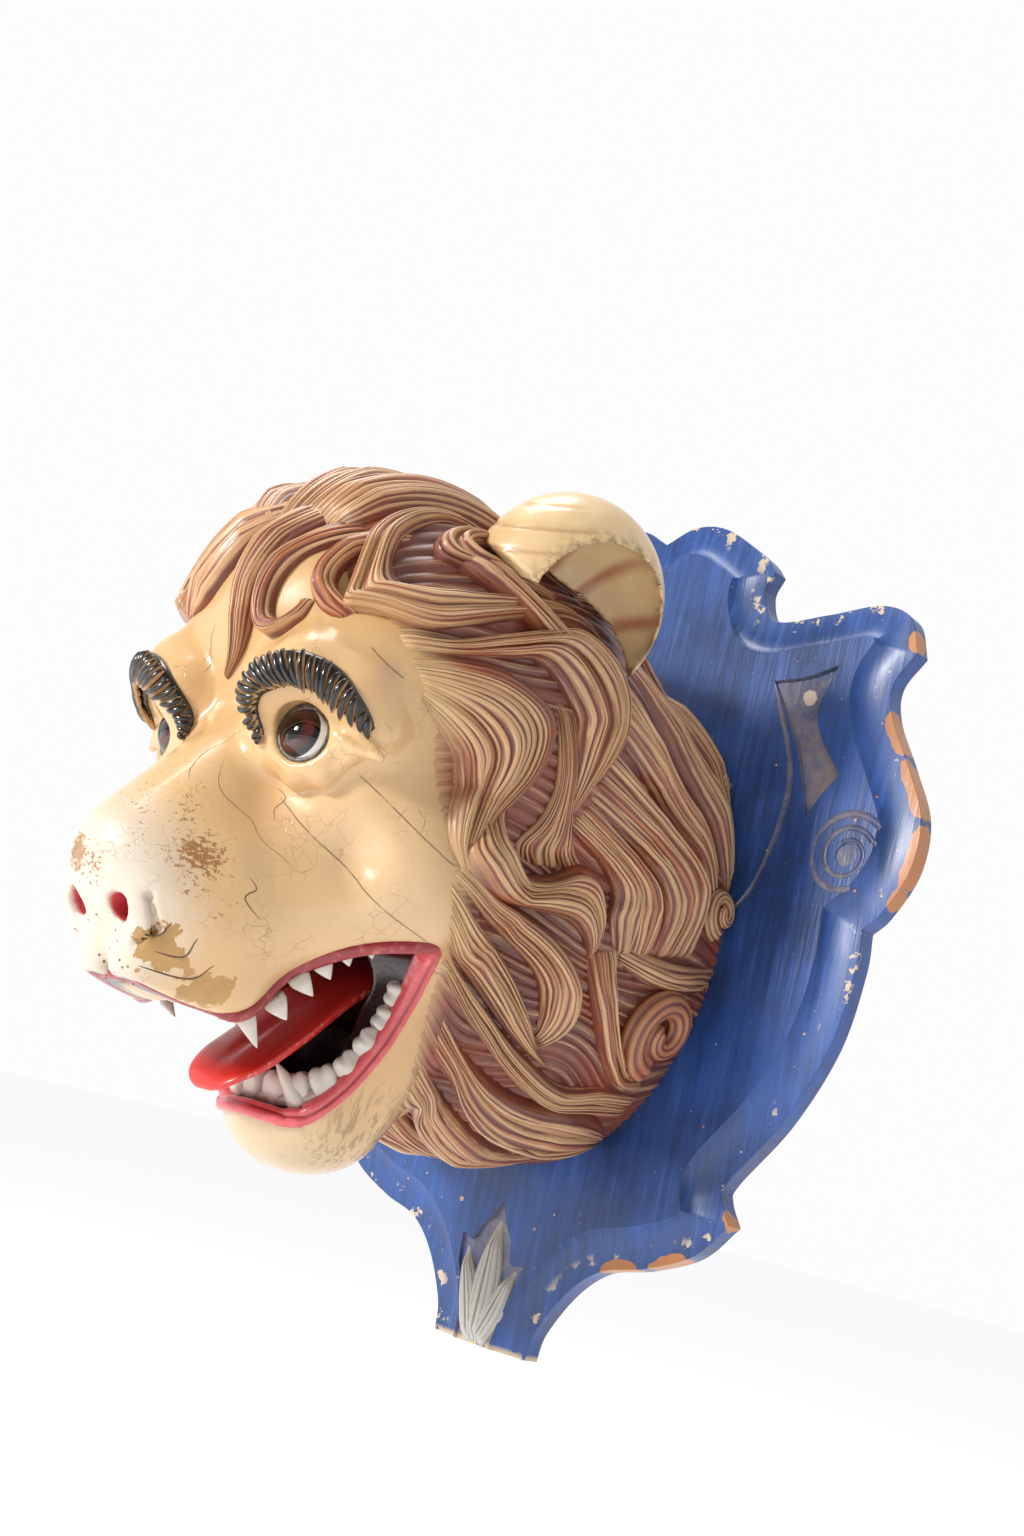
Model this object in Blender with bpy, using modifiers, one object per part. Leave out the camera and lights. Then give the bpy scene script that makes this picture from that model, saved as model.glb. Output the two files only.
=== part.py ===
"""Carved and painted lion's head on a shaped wall board, in metres with +Z up.

The board's back is the plane y = 0 and the lion looks along -Y. The origin is on the
back, on the centre line, at the height where the board hangs from the wall.

The head is a free form. Its masses are laid out in thousandths of a metre at the carved
size as (side, forward, up): side from the centre line, forward from the board's field
and up from the middle of the head's seat. They all follow the head's one length.
"""
import math

import bmesh
import bpy
import numpy as np
from mathutils import Matrix, Vector

# Lengths that the outlines and masses below are drawn at, in thousandths
DRAWN_BOARD = 650.0
DRAWN_HEAD = 439.0
# The drawn seat's middle from the origin, as (side, back, up)
DRAWN_SEAT = (0, -24, -132)

# The board: what lies in its plane follows its height
BOARD_HEIGHT = 0.650
BOARD_SCALE = BOARD_HEIGHT / DRAWN_BOARD
BOARD_EDGE = 0.015
COVE_DROP = 0.009
COVE_WIDTH = 28 * BOARD_SCALE
COVE_STEPS = 4
FIELD_Y = -(BOARD_EDGE + COVE_DROP)
HANG_HEIGHT = 0.450
RECESS_DEPTH = 0.004
GROOVE_RADIUS = 2.6 * BOARD_SCALE
CREASE_RADIUS = 0.8 * GROOVE_RADIUS
LEAF_RISE = 0.006
LEAF_NARROWING = 0.35
MERGE = 0.8 * BOARD_SCALE

# The head and what is let into it, which follows its length
HEAD_LENGTH = 0.439
HEAD_SCALE = HEAD_LENGTH / DRAWN_HEAD
SEAT_HEIGHT = 0.318
HEAD_FACES = 4100
VOXEL = 4.2 * HEAD_SCALE
SHEAF_ROOT = 14
COMB_DEPTH = 0.52
EYE_RADIUS = 19.5 * HEAD_SCALE
SOCKET_RADIUS = 21.5 * HEAD_SCALE
TONGUE_WIDTH = 66 * HEAD_SCALE
TONGUE_THICKNESS = 11 * HEAD_SCALE
UPPER_TOOTH_THICKNESS = 7.6 * HEAD_SCALE
TOOTH_ROOT = 5 * HEAD_SCALE
LOWER_TOOTH_RADIUS = 9.5 * HEAD_SCALE
LOWER_LUMPS = 15
EAR_WIDTH = 138 * HEAD_SCALE
EAR_DEPTH = 50 * HEAD_SCALE
EAR_WALL = 6 * HEAD_SCALE
EAR_RINGS = 10
FIT_GAP = 0.0003

# Right half of the board's outline from the top notch to the tip, one row for each
# stretch between two corners, as (side, height) on the drawn board
OUTLINE = (
    ((0, 637), (27, 650), (59, 646), (98, 622), (112, 608)),
    ((112, 608), (107, 590), (122, 567), (168, 571), (210, 577), (236, 567), (247, 540)),
    ((247, 540), (233, 517), (237, 492), (256, 458), (274, 421), (274, 384), (259, 352), (247, 339)),
    ((247, 339), (248, 310), (240, 257), (216, 202), (183, 155), (181, 143), (191, 127)),
    ((191, 127), (167, 101), (129, 84), (94, 74), (69, 53), (49, 21), (45, 0)),
)
POINTS_PER_STRETCH = 8
KITE = (((139, 515), (165, 518), (191, 527)), ((191, 527), (182, 487), (209, 445)),
        ((209, 445), (198, 430), (189, 414)), ((189, 414), (170, 465), (139, 515)))
VOLUTE_CENTRE = (228, 388)
VOLUTE_RADIUS = 27
VOLUTE_TURNS = 1.9
VOLUTE_START = math.radians(250)
VOLUTE_TIGHTENING = 0.72
CREASE = ((139, 515), (170, 440), (160, 365), (133, 327))
LEAF_LOBES = ((0, 4, 0, 88, 13), (2, 4, 27, 52, 9), (-2, 4, -27, 62, 9))

# The head's masses: eggs are centre, radii and tilt; tapers run between two balls
EGGS = (
    ("forehead", (0, 271, 112), (122, 108, 112), 0, 0),
    ("brow", (56, 309, 70), (52, 62, 56), 0, 22),
    ("skull", (0, 176, 82), (146, 150, 140), 0, 34),
    ("muzzle", (25, 363, -88), (35, 52, 42), -20, 20),
    ("neck", (0, 51, 0), (144, 240, 188), 0, 34),
    ("chin", (0, 224, -181), (35, 45, 41), 0, 24),
)
TAPERS = (
    ("nose bridge", (0, 326, 30), (0, 399, -62), 46, 38, 30),
    ("upper cheek", (56, 291, 12), (64, 253, -28), 46, 52, 30),
    ("lower cheek", (30, 331, -68), (74, 259, -28), 44, 50, 34),
    ("jaw", (22, 219, -178), (50, 197, -86), 40, 44, 24),
    ("brow front", (48, 375, 22), (54, 381, 54), 13, 14, 12),
    ("brow top", (54, 381, 54), (74, 373, 70), 14, 15, 12),
    ("brow back", (74, 373, 70), (98, 353, 62), 15, 14, 12),
    ("brow end", (98, 353, 62), (110, 336, 42), 14, 10, 12),
)
# The open mouth seen from the side, from the upper lip to the corner and the lower lip
MOUTH = ((551, -138), (411, -130), (380, -134), (357, -138), (335, -138), (323, -131), (309, -110),
         (294, -87), (278, -77), (258, -72), (245, -73), (237, -80), (231, -94), (230, -110),
         (232, -128), (237, -148), (243, -166), (251, -181), (259, -189), (274, -187), (551, -238))
# Hollows behind the lips: palate, throat and the floor of the lower jaw
MOUTH_HOLLOWS = (((0, 276, -113), (40, 60, 40)), ((0, 216, -96), (44, 70, 34)),
                 ((0, 226, -130), (38, 40, 56)))
EYE_CENTRE = (61, 346, 30)
SOCKET_CENTRE = (67, 359, 30)

# The mane's own grid: a share along the neck from the hairline to the board, and an
# angle round the neck from the crown, so 90 is the side and 180 the throat
HAIRLINE = ((0, 377), (20, 375), (38, 372), (48, 336), (60, 303), (82, 284), (100, 273), (115, 253),
            (134, 224), (147, 215), (158, 201), (170, 187), (180, 181))
NECK_LINE_UP = 12
# A sheaf of locks lies between two rails of (share, angle) and ends where they meet
SHEAVES = (
    ("temple sweep", ((0.02, 30), (0.02, 46), (0.12, 51), (0.22, 53), (0.27, 62)),
     ((0.05, 24), (0.10, 36), (0.20, 40), (0.34, 40), (0.44, 50)), 3, 17),
    ("hanging lock", ((0.22, 50), (0.27, 60), (0.28, 70), (0.34, 83)),
     ((0.36, 44), (0.44, 53), (0.45, 64), (0.35, 84)), 3, 20),
    ("temple wave", ((0.02, 54), (0.16, 56), (0.25, 64), (0.19, 77), (0.10, 89)),
     ((0.00, 70), (0.05, 74), (0.07, 80), (0.03, 88), (0.01, 96)), 3, 15),
    ("cheek wave", ((0.11, 86), (0.14, 97), (0.28, 99), (0.44, 93), (0.53, 108)),
     ((0.01, 94), (0.08, 107), (0.25, 109), (0.38, 107), (0.50, 114)), 3, 18),
    ("cheek sheaf", ((0.04, 101), (0.12, 108), (0.30, 110), (0.46, 116), (0.45, 134)),
     ((0.00, 112), (0.12, 120), (0.26, 121), (0.34, 128), (0.39, 138)), 3, 14),
    ("under cheek", ((0.00, 113), (0.14, 122), (0.26, 127), (0.38, 138), (0.52, 143)),
     ((0.00, 130), (0.12, 135), (0.24, 140), (0.40, 146), (0.60, 149)), 2, 12),
    ("jaw sheaf", ((0.03, 134), (0.18, 139), (0.34, 144), (0.54, 147), (0.80, 150), (0.99, 156)),
     ((0.05, 152), (0.22, 158), (0.42, 163), (0.62, 163), (0.82, 160), (1.00, 157)), 3, 16),
    ("throat sheaf", ((0.05, 153), (0.25, 163), (0.45, 168), (0.70, 168), (0.93, 167)),
     ((0.05, 174), (0.30, 180), (0.50, 181), (0.70, 180), (0.90, 172)), 3, 16),
    ("low curl", ((0.50, 114), (0.53, 124), (0.62, 133), (0.80, 136), (0.97, 132)),
     ((0.42, 136), (0.52, 142), (0.68, 145), (0.85, 145), (1.00, 140)), 3, 16),
    ("side sheaf", ((0.34, 85), (0.45, 89), (0.57, 96), (0.60, 103), (0.61, 110)),
     ((0.43, 68), (0.60, 73), (0.76, 80), (0.84, 92), (0.86, 105)), 4, 16),
    ("ear sheaf", ((0.44, 60), (0.56, 66), (0.68, 70), (0.84, 76), (0.96, 88)),
     ((0.60, 44), (0.72, 52), (0.82, 60), (0.90, 70), (1.00, 82)), 3, 14),
    ("nape sheaf", ((0.66, 36), (0.78, 44), (0.88, 54), (0.94, 64), (0.99, 76)),
     ((0.82, 22), (0.90, 30), (0.96, 42), (0.99, 54), (1.00, 70)), 3, 14),
    ("crown sheaf", ((0.03, 23), (0.10, 23), (0.22, 28), (0.36, 32), (0.52, 32)),
     ((0.01, 7), (0.10, 8), (0.24, 11), (0.40, 15), (0.56, 20)), 3, 17),
    ("back crown", ((0.50, 34), (0.64, 34), (0.80, 34), (0.98, 36)),
     ((0.46, 8), (0.64, 9), (0.82, 10), (1.00, 12)), 3, 13),
    ("side curl", ((0.62, 110), (0.72, 108), (0.84, 106), (0.98, 104)),
     ((0.60, 122), (0.70, 114), (0.84, 112), (0.98, 114)), 2, 12),
)
CREST = ("crest", ((0.02, 7), (0.14, 7), (0.34, 7), (0.60, 8), (0.84, 8)),
         ((0.02, -7), (0.14, -7), (0.34, -7), (0.60, -8), (0.84, -8)), 2, 16)
CURLS = (((0.81, 123), 27), ((0.96, 47), 13), ((0.94, 89), 17))
# The forelock hangs on the forehead between two rails of (side, up)
FORELOCK = (((-24, 178), (-16, 138), (-6, 98), (-3, 64)), ((22, 178), (16, 138), (9, 98), (1, 64)), 2, 11)

# An ear's middle, the way it opens and how far its inside is moved (out, ahead, up)
EAR_CENTRE = (121, 222, 171)
EAR_OPENS = (0.92, 0.29, -0.28)
EAR_HOLLOW_SHIFT = (22, -7, -7)
# Upper teeth from the long one in front to the corner: where each leaves the lip, as
# (side, forward, up), then its length and its width
UPPER_TEETH = (((42, 321, -138), 22, 14), ((51, 308, -126), 14, 16), ((59, 301, -109), 15, 15),
               ((65, 292, -96), 12, 15), ((70, 281, -85), 10, 14), ((75, 267, -77), 9, 12))
# The lower row's line from the middle of the lip to the corner, and its one pointed tooth
LOWER_ROW = ((0, 263, -185), (18, 262, -185), (33, 257, -182), (49, 243, -172), (58, 234, -153),
             (64, 228, -134), (69, 227, -115), (73, 231, -98))
LOWER_FANG = ((32, 262, -178), (25, 275, -163))
LOWER_FANG_WIDTH = 13
TONGUE_RUN = ((313, -177), (306, -176), (290, -169), (262, -141), (225, -106), (190, -84), (140, -66))

SIDES = ((1, "left"), (-1, "right"))
SEAT = np.array([0.0, FIELD_Y, SEAT_HEIGHT - HANG_HEIGHT])

for old in list(bpy.data.objects):
    bpy.data.objects.remove(old, do_unlink=True)


def collection(name):
    made = bpy.data.collections.new(name)
    bpy.context.scene.collection.children.link(made)
    return made


PARTS = collection("lion_wall_mask")
CUTTERS = collection("cutters")


def paint(name, colour, roughness, metallic=0.0):
    """a plain material in the colour of the part's paint"""
    made = bpy.data.materials.new(name)
    made.use_nodes = True
    shader = made.node_tree.nodes["Principled BSDF"]
    shader.inputs["Base Color"].default_value = (*colour, 1.0)
    shader.inputs["Roughness"].default_value = roughness
    shader.inputs["Metallic"].default_value = metallic
    return made


BLUE = paint("blue oil paint", (0.02, 0.07, 0.33), 0.4)
CREAM = paint("cream oil paint", (0.72, 0.56, 0.33), 0.3)
RED = paint("red oil paint", (0.50, 0.03, 0.02), 0.35)
IVORY = paint("tooth white", (0.60, 0.54, 0.46), 0.35)
GLASS = paint("dark eye glass", (0.03, 0.01, 0.008), 0.05)


def add(name, mesh, material, group):
    """a new object from a mesh, in the parts or among the cutters"""
    made = bpy.data.objects.new(name, mesh)
    group.objects.link(made)
    if material:
        made.data.materials.append(material)
    if group is CUTTERS:
        made.hide_render = True
        made.display_type = "WIRE"
    return made


def evaluated(item):
    """the item's mesh with its modifiers applied"""
    bpy.context.view_layer.update()
    graph = bpy.context.evaluated_depsgraph_get()
    return bpy.data.meshes.new_from_object(item.evaluated_get(graph))


def mesh_from(bm, name):
    """a mesh with its faces turned outwards"""
    bm.normal_update()
    bmesh.ops.recalc_face_normals(bm, faces=bm.faces)
    made = bpy.data.meshes.new(name)
    bm.to_mesh(made)
    bm.free()
    return made


def spline(knots, count):
    """points evenly along a smooth line through the knots, a Catmull-Rom curve"""
    k = np.array(knots, float)
    k = np.vstack([2 * k[0] - k[1], k, 2 * k[-1] - k[-2]])
    u = np.linspace(0, len(k) - 3 - 1e-9, count)
    i = u.astype(int)
    t = (u - i)[:, None]
    a, b, c, d = k[i], k[i + 1], k[i + 2], k[i + 3]
    return 0.5 * (2 * b + (c - a) * t + (2 * a - 5 * b + 4 * c - d) * t ** 2
                  + (3 * b - a - 3 * c + d) * t ** 3)


def board_point(side, height, y):
    """a place on the drawn board, in the part's frame"""
    return Vector((side * BOARD_SCALE, y, height * BOARD_SCALE - HANG_HEIGHT))


def head_point(p):
    """places on the drawn head, in the part's frame"""
    return np.asarray(p, float) * HEAD_SCALE * np.array([1.0, -1.0, 1.0]) + SEAT


def flat_prism(name, points, y_front, y_back):
    """an outline in the board's plane, carried from one depth to another"""
    bm = bmesh.new()
    face = bm.faces.new([bm.verts.new(board_point(x, z, y_back)) for x, z in points])
    moved = bmesh.ops.extrude_face_region(bm, geom=[face])["geom"]
    verts = [v for v in moved if isinstance(v, bmesh.types.BMVert)]
    bmesh.ops.translate(bm, verts=verts, vec=(0, y_front - y_back, 0))
    return mesh_from(bm, name)


def cut(item, cutter, operation="DIFFERENCE"):
    """one exact Boolean, left on the object"""
    step = item.modifiers.new(cutter.name, "BOOLEAN")
    step.operation = operation
    step.solver = "EXACT"
    step.object = cutter
    return step


def tube(name, points, radii, sides):
    """a welded mesh of a round rod along a line, from a curve with a bevel"""
    curve = bpy.data.curves.new(name, "CURVE")
    curve.dimensions = "3D"
    curve.bevel_depth = 1.0
    curve.bevel_resolution = sides
    curve.use_fill_caps = True
    line = curve.splines.new("POLY")
    line.points.add(len(points) - 1)
    for point, place, radius in zip(line.points, points, radii):
        point.co = (*place, 1)
        point.radius = radius
    rod = bpy.data.objects.new(name, curve)
    bpy.context.scene.collection.objects.link(rod)
    mesh = evaluated(rod)
    bpy.data.objects.remove(rod)
    bm = bmesh.new()
    bm.from_mesh(mesh)
    bmesh.ops.remove_doubles(bm, verts=bm.verts, dist=0.00002)
    return mesh_from(bm, name)


def inward(points, distance, steps=24):
    """the outline moved in by a distance; where its two sides meet, the points gather"""
    line = np.array(points, float)
    start, end = line[:-1], line[1:]
    run = end - start
    size = np.maximum((run ** 2).sum(1), 1e-9)
    ahead = np.roll(line, -1, 0) - np.roll(line, 1, 0)
    normal = np.stack([-ahead[:, 1], ahead[:, 0]], -1)
    normal /= np.linalg.norm(normal, axis=1)[:, None]
    moved = line - 0.2 * normal
    for step in np.linspace(0.4, distance, steps):
        gap = moved[:, None] - start[None]
        share = np.clip((gap * run).sum(-1) / size, 0, 1)
        foot = start + share[..., None] * run
        reach = np.linalg.norm(moved[:, None] - foot, axis=-1)
        near = foot[np.arange(len(moved)), reach.argmin(1)]
        away = moved - near
        moved = near + away * (step / np.maximum(np.linalg.norm(away, axis=1), 1e-6))[:, None]
    moved[0, 1] = moved[-1, 1] = 0.0
    return moved


def board_rings():
    """the board's sections: its back, its edge, the steps of the hollow and the field"""
    right = [tuple(p) for row in OUTLINE for p in spline(row, POINTS_PER_STRETCH)[:-1]]
    right.append(OUTLINE[-1][-1])
    line = np.array([(-x, z) for x, z in right[::-1] if x > 0] + right)
    rings = [(line, 0.0), (line, -BOARD_EDGE)]
    for step in range(1, COVE_STEPS + 1):
        share = step / COVE_STEPS
        rise = COVE_DROP * (1 - math.sqrt(max(0.0, 1 - share ** 2)))
        width = COVE_WIDTH / BOARD_SCALE * share
        rings.append((inward(line, width), -BOARD_EDGE - rise))
    return rings


def skinned(sections):
    """a mesh in the making, with faces between sections that have as many points each"""
    bm = bmesh.new()
    rings = [[bm.verts.new(p) for p in section] for section in sections]
    for low, high in zip(rings, rings[1:]):
        for i in range(len(low)):
            j = (i + 1) % len(low)
            bm.faces.new((low[i], low[j], high[j], high[i]))
    return bm, rings


def loft(name, sections):
    """a closed mesh through the sections"""
    bm, rings = skinned(sections)
    bm.faces.new(rings[0])
    bm.faces.new(rings[-1])
    return mesh_from(bm, name)


def make_board():
    """the shaped board: a flat field whose edge falls away in a hollow moulding"""
    bm, rings = skinned([[board_point(x, z, y) for x, z in line] for line, y in board_rings()])
    bmesh.ops.remove_doubles(bm, verts=[v for ring in rings[2:] for v in ring], dist=MERGE)
    edges = [e for e in bm.edges if e.is_boundary]
    bmesh.ops.edgeloop_fill(bm, edges=edges)
    board = add("shield_board", mesh_from(bm, "shield_board"), BLUE, PARTS)
    for sign, side in SIDES:
        kite = [(sign * x, z) for row in KITE for x, z in spline(row, 5)[:-1]]
        cutter = add("kite_" + side, flat_prism("kite", kite, FIELD_Y - 0.01, FIELD_Y + RECESS_DEPTH),
                     None, CUTTERS)
        cut(board, cutter)
        cut(board, add("volute_" + side, volute_groove(sign), None, CUTTERS))
        crease = [board_point(sign * x, z, FIELD_Y) for x, z in spline(CREASE, 9)]
        cut(board, add("crease_" + side, tube("crease", crease, [CREASE_RADIUS] * 9, 0), None, CUTTERS))
    for number, lobe in enumerate(LEAF_LOBES, 1):
        cut(board, add("leaf_%d" % number, leaf_lobe(*lobe), None, CUTTERS), "UNION")
    return board


def volute_groove(sign):
    """the groove of a scroll that winds in, growing finer as it goes"""
    turn = np.linspace(0, 1, 26)
    angle = VOLUTE_START + 2 * math.pi * VOLUTE_TURNS * turn
    reach = VOLUTE_RADIUS * (1 - VOLUTE_TIGHTENING * turn)
    cx, cz = VOLUTE_CENTRE
    x, z = cx - reach * np.sin(angle), cz + reach * np.cos(angle)
    points = [board_point(sign * a, b, FIELD_Y) for a, b in zip(x, z)]
    return tube("volute", points, GROOVE_RADIUS * (1.25 - 0.5 * turn), 0)


def leaf_lobe(x0, z0, x1, z1, half_width):
    """one pointed lobe, a flattened ball stretched from its foot to its tip"""
    bm = bmesh.new()
    bmesh.ops.create_icosphere(bm, subdivisions=2, radius=1.0)
    length = math.hypot(x1 - x0, z1 - z0) / 2
    tilt = math.atan2(x1 - x0, z1 - z0)
    for v in bm.verts:
        along, across = v.co.z, v.co.x * (1 - LEAF_NARROWING * v.co.z)
        side = (x0 + x1) / 2 + math.sin(tilt) * along * length + math.cos(tilt) * across * half_width
        height = (z0 + z1) / 2 + math.cos(tilt) * along * length - math.sin(tilt) * across * half_width
        v.co = board_point(side, height, FIELD_Y + v.co.y * LEAF_RISE)
    return mesh_from(bm, "leaf")


def egg_field(p, centre, radii, tilt):
    """distance to a tilted ellipsoid, near enough to walk along"""
    a = math.radians(tilt)
    q = p - np.array(centre, float)
    forward = q[..., 1] * math.cos(a) - q[..., 2] * math.sin(a)
    up = q[..., 1] * math.sin(a) + q[..., 2] * math.cos(a)
    q = np.stack([q[..., 0], forward, up], -1)
    radii = np.array(radii, float)
    near = np.sqrt(((q / radii) ** 2).sum(-1))
    slope = np.sqrt(((q / radii ** 2) ** 2).sum(-1))
    return near * (near - 1) / np.maximum(slope, 1e-9)


def taper_field(p, start, end, r0, r1):
    """distance to a rod with round ends that grows from one radius to the other"""
    start, end = np.array(start, float), np.array(end, float)
    run = end - start
    t = np.clip(((p - start) @ run) / (run @ run), 0, 1)
    return np.sqrt(((p - start - t[..., None] * run) ** 2).sum(-1)) - (r0 + (r1 - r0) * t)


def blend(a, b, width):
    """the nearer of two distances, rounded over where they cross"""
    t = np.clip(0.5 + 0.5 * (b - a) / width, 0, 1)
    return b + (a - b) * t - width * t * (1 - t)


def skin(p):
    """signed distance to the head's masses, the same on both sides"""
    q = np.stack([np.sqrt(p[..., 0] ** 2 + 1.0), p[..., 1], p[..., 2]], -1)
    f = np.full(p.shape[:-1], 1e3)
    for _, centre, radii, tilt, width in EGGS:
        f = blend(f, egg_field(q, centre, radii, tilt), width or 1)
    for _, start, end, r0, r1, width in TAPERS:
        f = blend(f, taper_field(q, start, end, r0, r1), width)
    return f


def walk_in(origin, direction, reach, steps=44):
    """from far out along each ray back to the skin"""
    t = np.full(origin.shape[:-1], float(reach))
    for _ in range(steps):
        t = t - 0.8 * skin(origin + direction * t[..., None])
    return origin + direction * t[..., None]


def mane_place(share, angle):
    """where a share along the neck and an angle round it meet the skin"""
    share, angle = np.broadcast_arrays(np.asarray(share, float), np.asarray(angle, float))
    line = np.array(HAIRLINE, float)
    start = np.interp(np.abs(angle), line[:, 0], line[:, 1])
    turn = np.radians(angle)
    origin = np.stack([0 * turn, start * (1 - share) + 3 * share, 0 * turn + NECK_LINE_UP], -1)
    direction = np.stack([np.sin(turn), 0 * turn, np.cos(turn)], -1)
    return walk_in(origin, direction, 320)


def brow_place(side, up):
    """where a line from the front meets the skin of the forehead"""
    side, up = np.broadcast_arrays(np.asarray(side, float), np.asarray(up, float))
    origin = np.stack([side, 0 * side, up], -1)
    direction = np.zeros(origin.shape)
    direction[..., 1] = 1.0
    return walk_in(origin, direction, 600)


def outward(p):
    """the skin's own direction at each point"""
    step = 0.5
    slope = np.stack([skin(p + step * e) - skin(p - step * e) for e in np.eye(3)], -1)
    return slope / np.maximum(np.linalg.norm(slope, axis=-1), 1e-9)[..., None]


def sheaf(rail_a, rail_b, ridges, rise, sign, place=mane_place, stations=12):
    """a closed loft between two rails: a ridged back that runs out at both ends"""
    a, b = spline(rail_a, stations), spline(rail_b, stations)
    across = np.linspace(0, 1, 4 * ridges + 1)
    grid = a[:, None] * (1 - across[None, :, None]) + b[:, None] * across[None, :, None]
    base = place(grid[..., 0], grid[..., 1])
    normal = outward(base)
    along = np.linspace(0, 1, stations)[:, None]
    run_out = np.minimum(1, 3.5 * along + 0.15) * np.minimum(1, 2.4 * (1 - along) + 0.25)
    back = np.sin(np.pi * across[None]) ** 0.5
    comb = 1 - COMB_DEPTH * (1 - np.abs(np.sin(np.pi * ridges * across[None])))
    top = base + normal * (rise * run_out * back * comb)[..., None]
    under = base - normal * SHEAF_ROOT
    grids = []
    for points in (top, under):
        placed = head_point(points.reshape(-1, 3)) * np.array([sign, 1, 1])
        grids.append(placed)
    bm = bmesh.new()
    rows, columns = stations, len(across)
    upper, lower = [[bm.verts.new(p) for p in g] for g in grids]
    for i in range(rows - 1):
        for j in range(columns - 1):
            k = i * columns + j
            quad = (k, k + 1, k + columns + 1, k + columns)
            bm.faces.new([upper[n] for n in quad])
            bm.faces.new([lower[n] for n in reversed(quad)])
    rim = [j for j in range(columns)] + [i * columns + columns - 1 for i in range(1, rows)]
    rim += [(rows - 1) * columns + j for j in range(columns - 2, -1, -1)]
    rim += [i * columns for i in range(rows - 2, 0, -1)]
    for m, n in zip(rim, rim[1:] + rim[:1]):
        bm.faces.new((upper[m], lower[m], lower[n], upper[n]))
    return mesh_from(bm, "sheaf")


def curl(place, radius, sign):
    """a snail of hair: a rod wound on a flat spiral that rises to its eye"""
    centre = mane_place(*place)
    normal = outward(centre[None])[0]
    side = np.cross(normal, (0, 1, 0))
    side /= np.linalg.norm(side)
    other = np.cross(normal, side)
    turn = np.linspace(0, 1, 15)
    angle = 2 * math.pi * 1.3 * turn + math.pi
    reach = radius * (1 - 0.8 * turn)
    flat = centre + reach[:, None] * (np.cos(angle)[:, None] * side + np.sin(angle)[:, None] * other)
    points = head_point(flat + normal * (2 + 8 * turn)[:, None]) * np.array([sign, 1, 1])
    return tube("curl", points, HEAD_SCALE * radius * (0.42 - 0.12 * turn), 0)


def head_block():
    """a ball whose points are drawn along their rays on to the skin"""
    bm = bmesh.new()
    bmesh.ops.create_icosphere(bm, subdivisions=6, radius=1.0)
    rays = np.array([v.co[:] for v in bm.verts])
    middle = np.zeros(rays.shape) + np.array([0.0, 150.0, 20.0])
    placed = head_point(walk_in(middle, rays, 420))
    for v, p in zip(bm.verts, placed):
        v.co = p
    return mesh_from(bm, "head_block")


def joined(meshes, name):
    """several meshes as one, before they are fused"""
    bm = bmesh.new()
    for mesh in meshes:
        bm.from_mesh(mesh)
    made = bpy.data.meshes.new(name)
    bm.to_mesh(made)
    bm.free()
    return made


def ball(name, centre, radii, group, material=None, axes=None, rings=8):
    """an egg round a place in the part's frame, in metres, with its own three axes"""
    bm = bmesh.new()
    bmesh.ops.create_uvsphere(bm, u_segments=2 * rings, v_segments=rings, radius=1.0)
    turn = np.eye(3) if axes is None else np.array(axes)
    for v in bm.verts:
        v.co = Vector(np.array(centre) + (np.array(v.co) * radii) @ turn)
    return add(name, mesh_from(bm, name), material, group)


def mirrored(p, sign):
    """a drawn place on the left side, or its twin on the right"""
    return head_point(p) * np.array([sign, 1, 1])


def tooth(foot, axis, across, length, width, grow=0.0):
    """sections of a flattened cone from its root to its blunt point, in metres"""
    turn = np.linspace(0, 2 * np.pi, 6, endpoint=False)
    thick = np.cross(axis, across)
    sections = []
    for reach, share in ((-TOOTH_ROOT - grow, 0.92), (0.0, 1.0), (0.55 * length, 0.62), (length, 0.1)):
        wide, deep = width / 2 * share + grow, UPPER_TOOTH_THICKNESS / 2 * share + grow
        ring = np.cos(turn)[:, None] * across * wide + np.sin(turn)[:, None] * thick * deep
        sections.append(foot + axis * reach + ring)
    return sections


def unit(v):
    return v / np.linalg.norm(v)


def upper_teeth(head):
    """twelve teeth set one by one in the upper lip, at right angles to its edge"""
    row = np.array([foot for foot, _, _ in UPPER_TEETH], float)
    run = np.gradient(row, axis=0)
    for sign, side in SIDES:
        for number, (foot, length, width) in enumerate(UPPER_TEETH):
            along = unit(run[number] * np.array([sign, -1, 1]))
            axis = unit(np.cross(along, (-1, 0, 0)))
            axis = axis if axis[2] < 0 else -axis
            place = mirrored(foot, sign)
            sizes = (length * HEAD_SCALE, width * HEAD_SCALE)
            name = "upper_tooth_%d_%s" % (number + 1, side)
            across = unit(along - axis * along.dot(axis))
            add(name, loft(name, tooth(place, axis, across, *sizes)), IVORY, PARTS)
            socket = loft("socket", tooth(place, axis, across, *sizes, grow=FIT_GAP))
            cut(head, add(name + "_socket", socket, None, CUTTERS))


def lower_row(grow=0.0):
    """the carved strip of low rounded teeth, a rod that swells at each tooth"""
    half = np.array(LOWER_ROW[1:], float)
    knots = np.vstack([half[::-1] * np.array([-1, 1, 1]), [LOWER_ROW[0]], half])
    count = 3 * LOWER_LUMPS + 1
    share = np.linspace(0, 1, count)
    swell = 0.74 + 0.26 * np.abs(np.sin(np.pi * LOWER_LUMPS * share))
    swell *= 1.08 - 0.5 * (2 * share - 1) ** 4
    return tube("row", head_point(spline(knots, count)), LOWER_TOOTH_RADIUS * swell + grow, 0)


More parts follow.
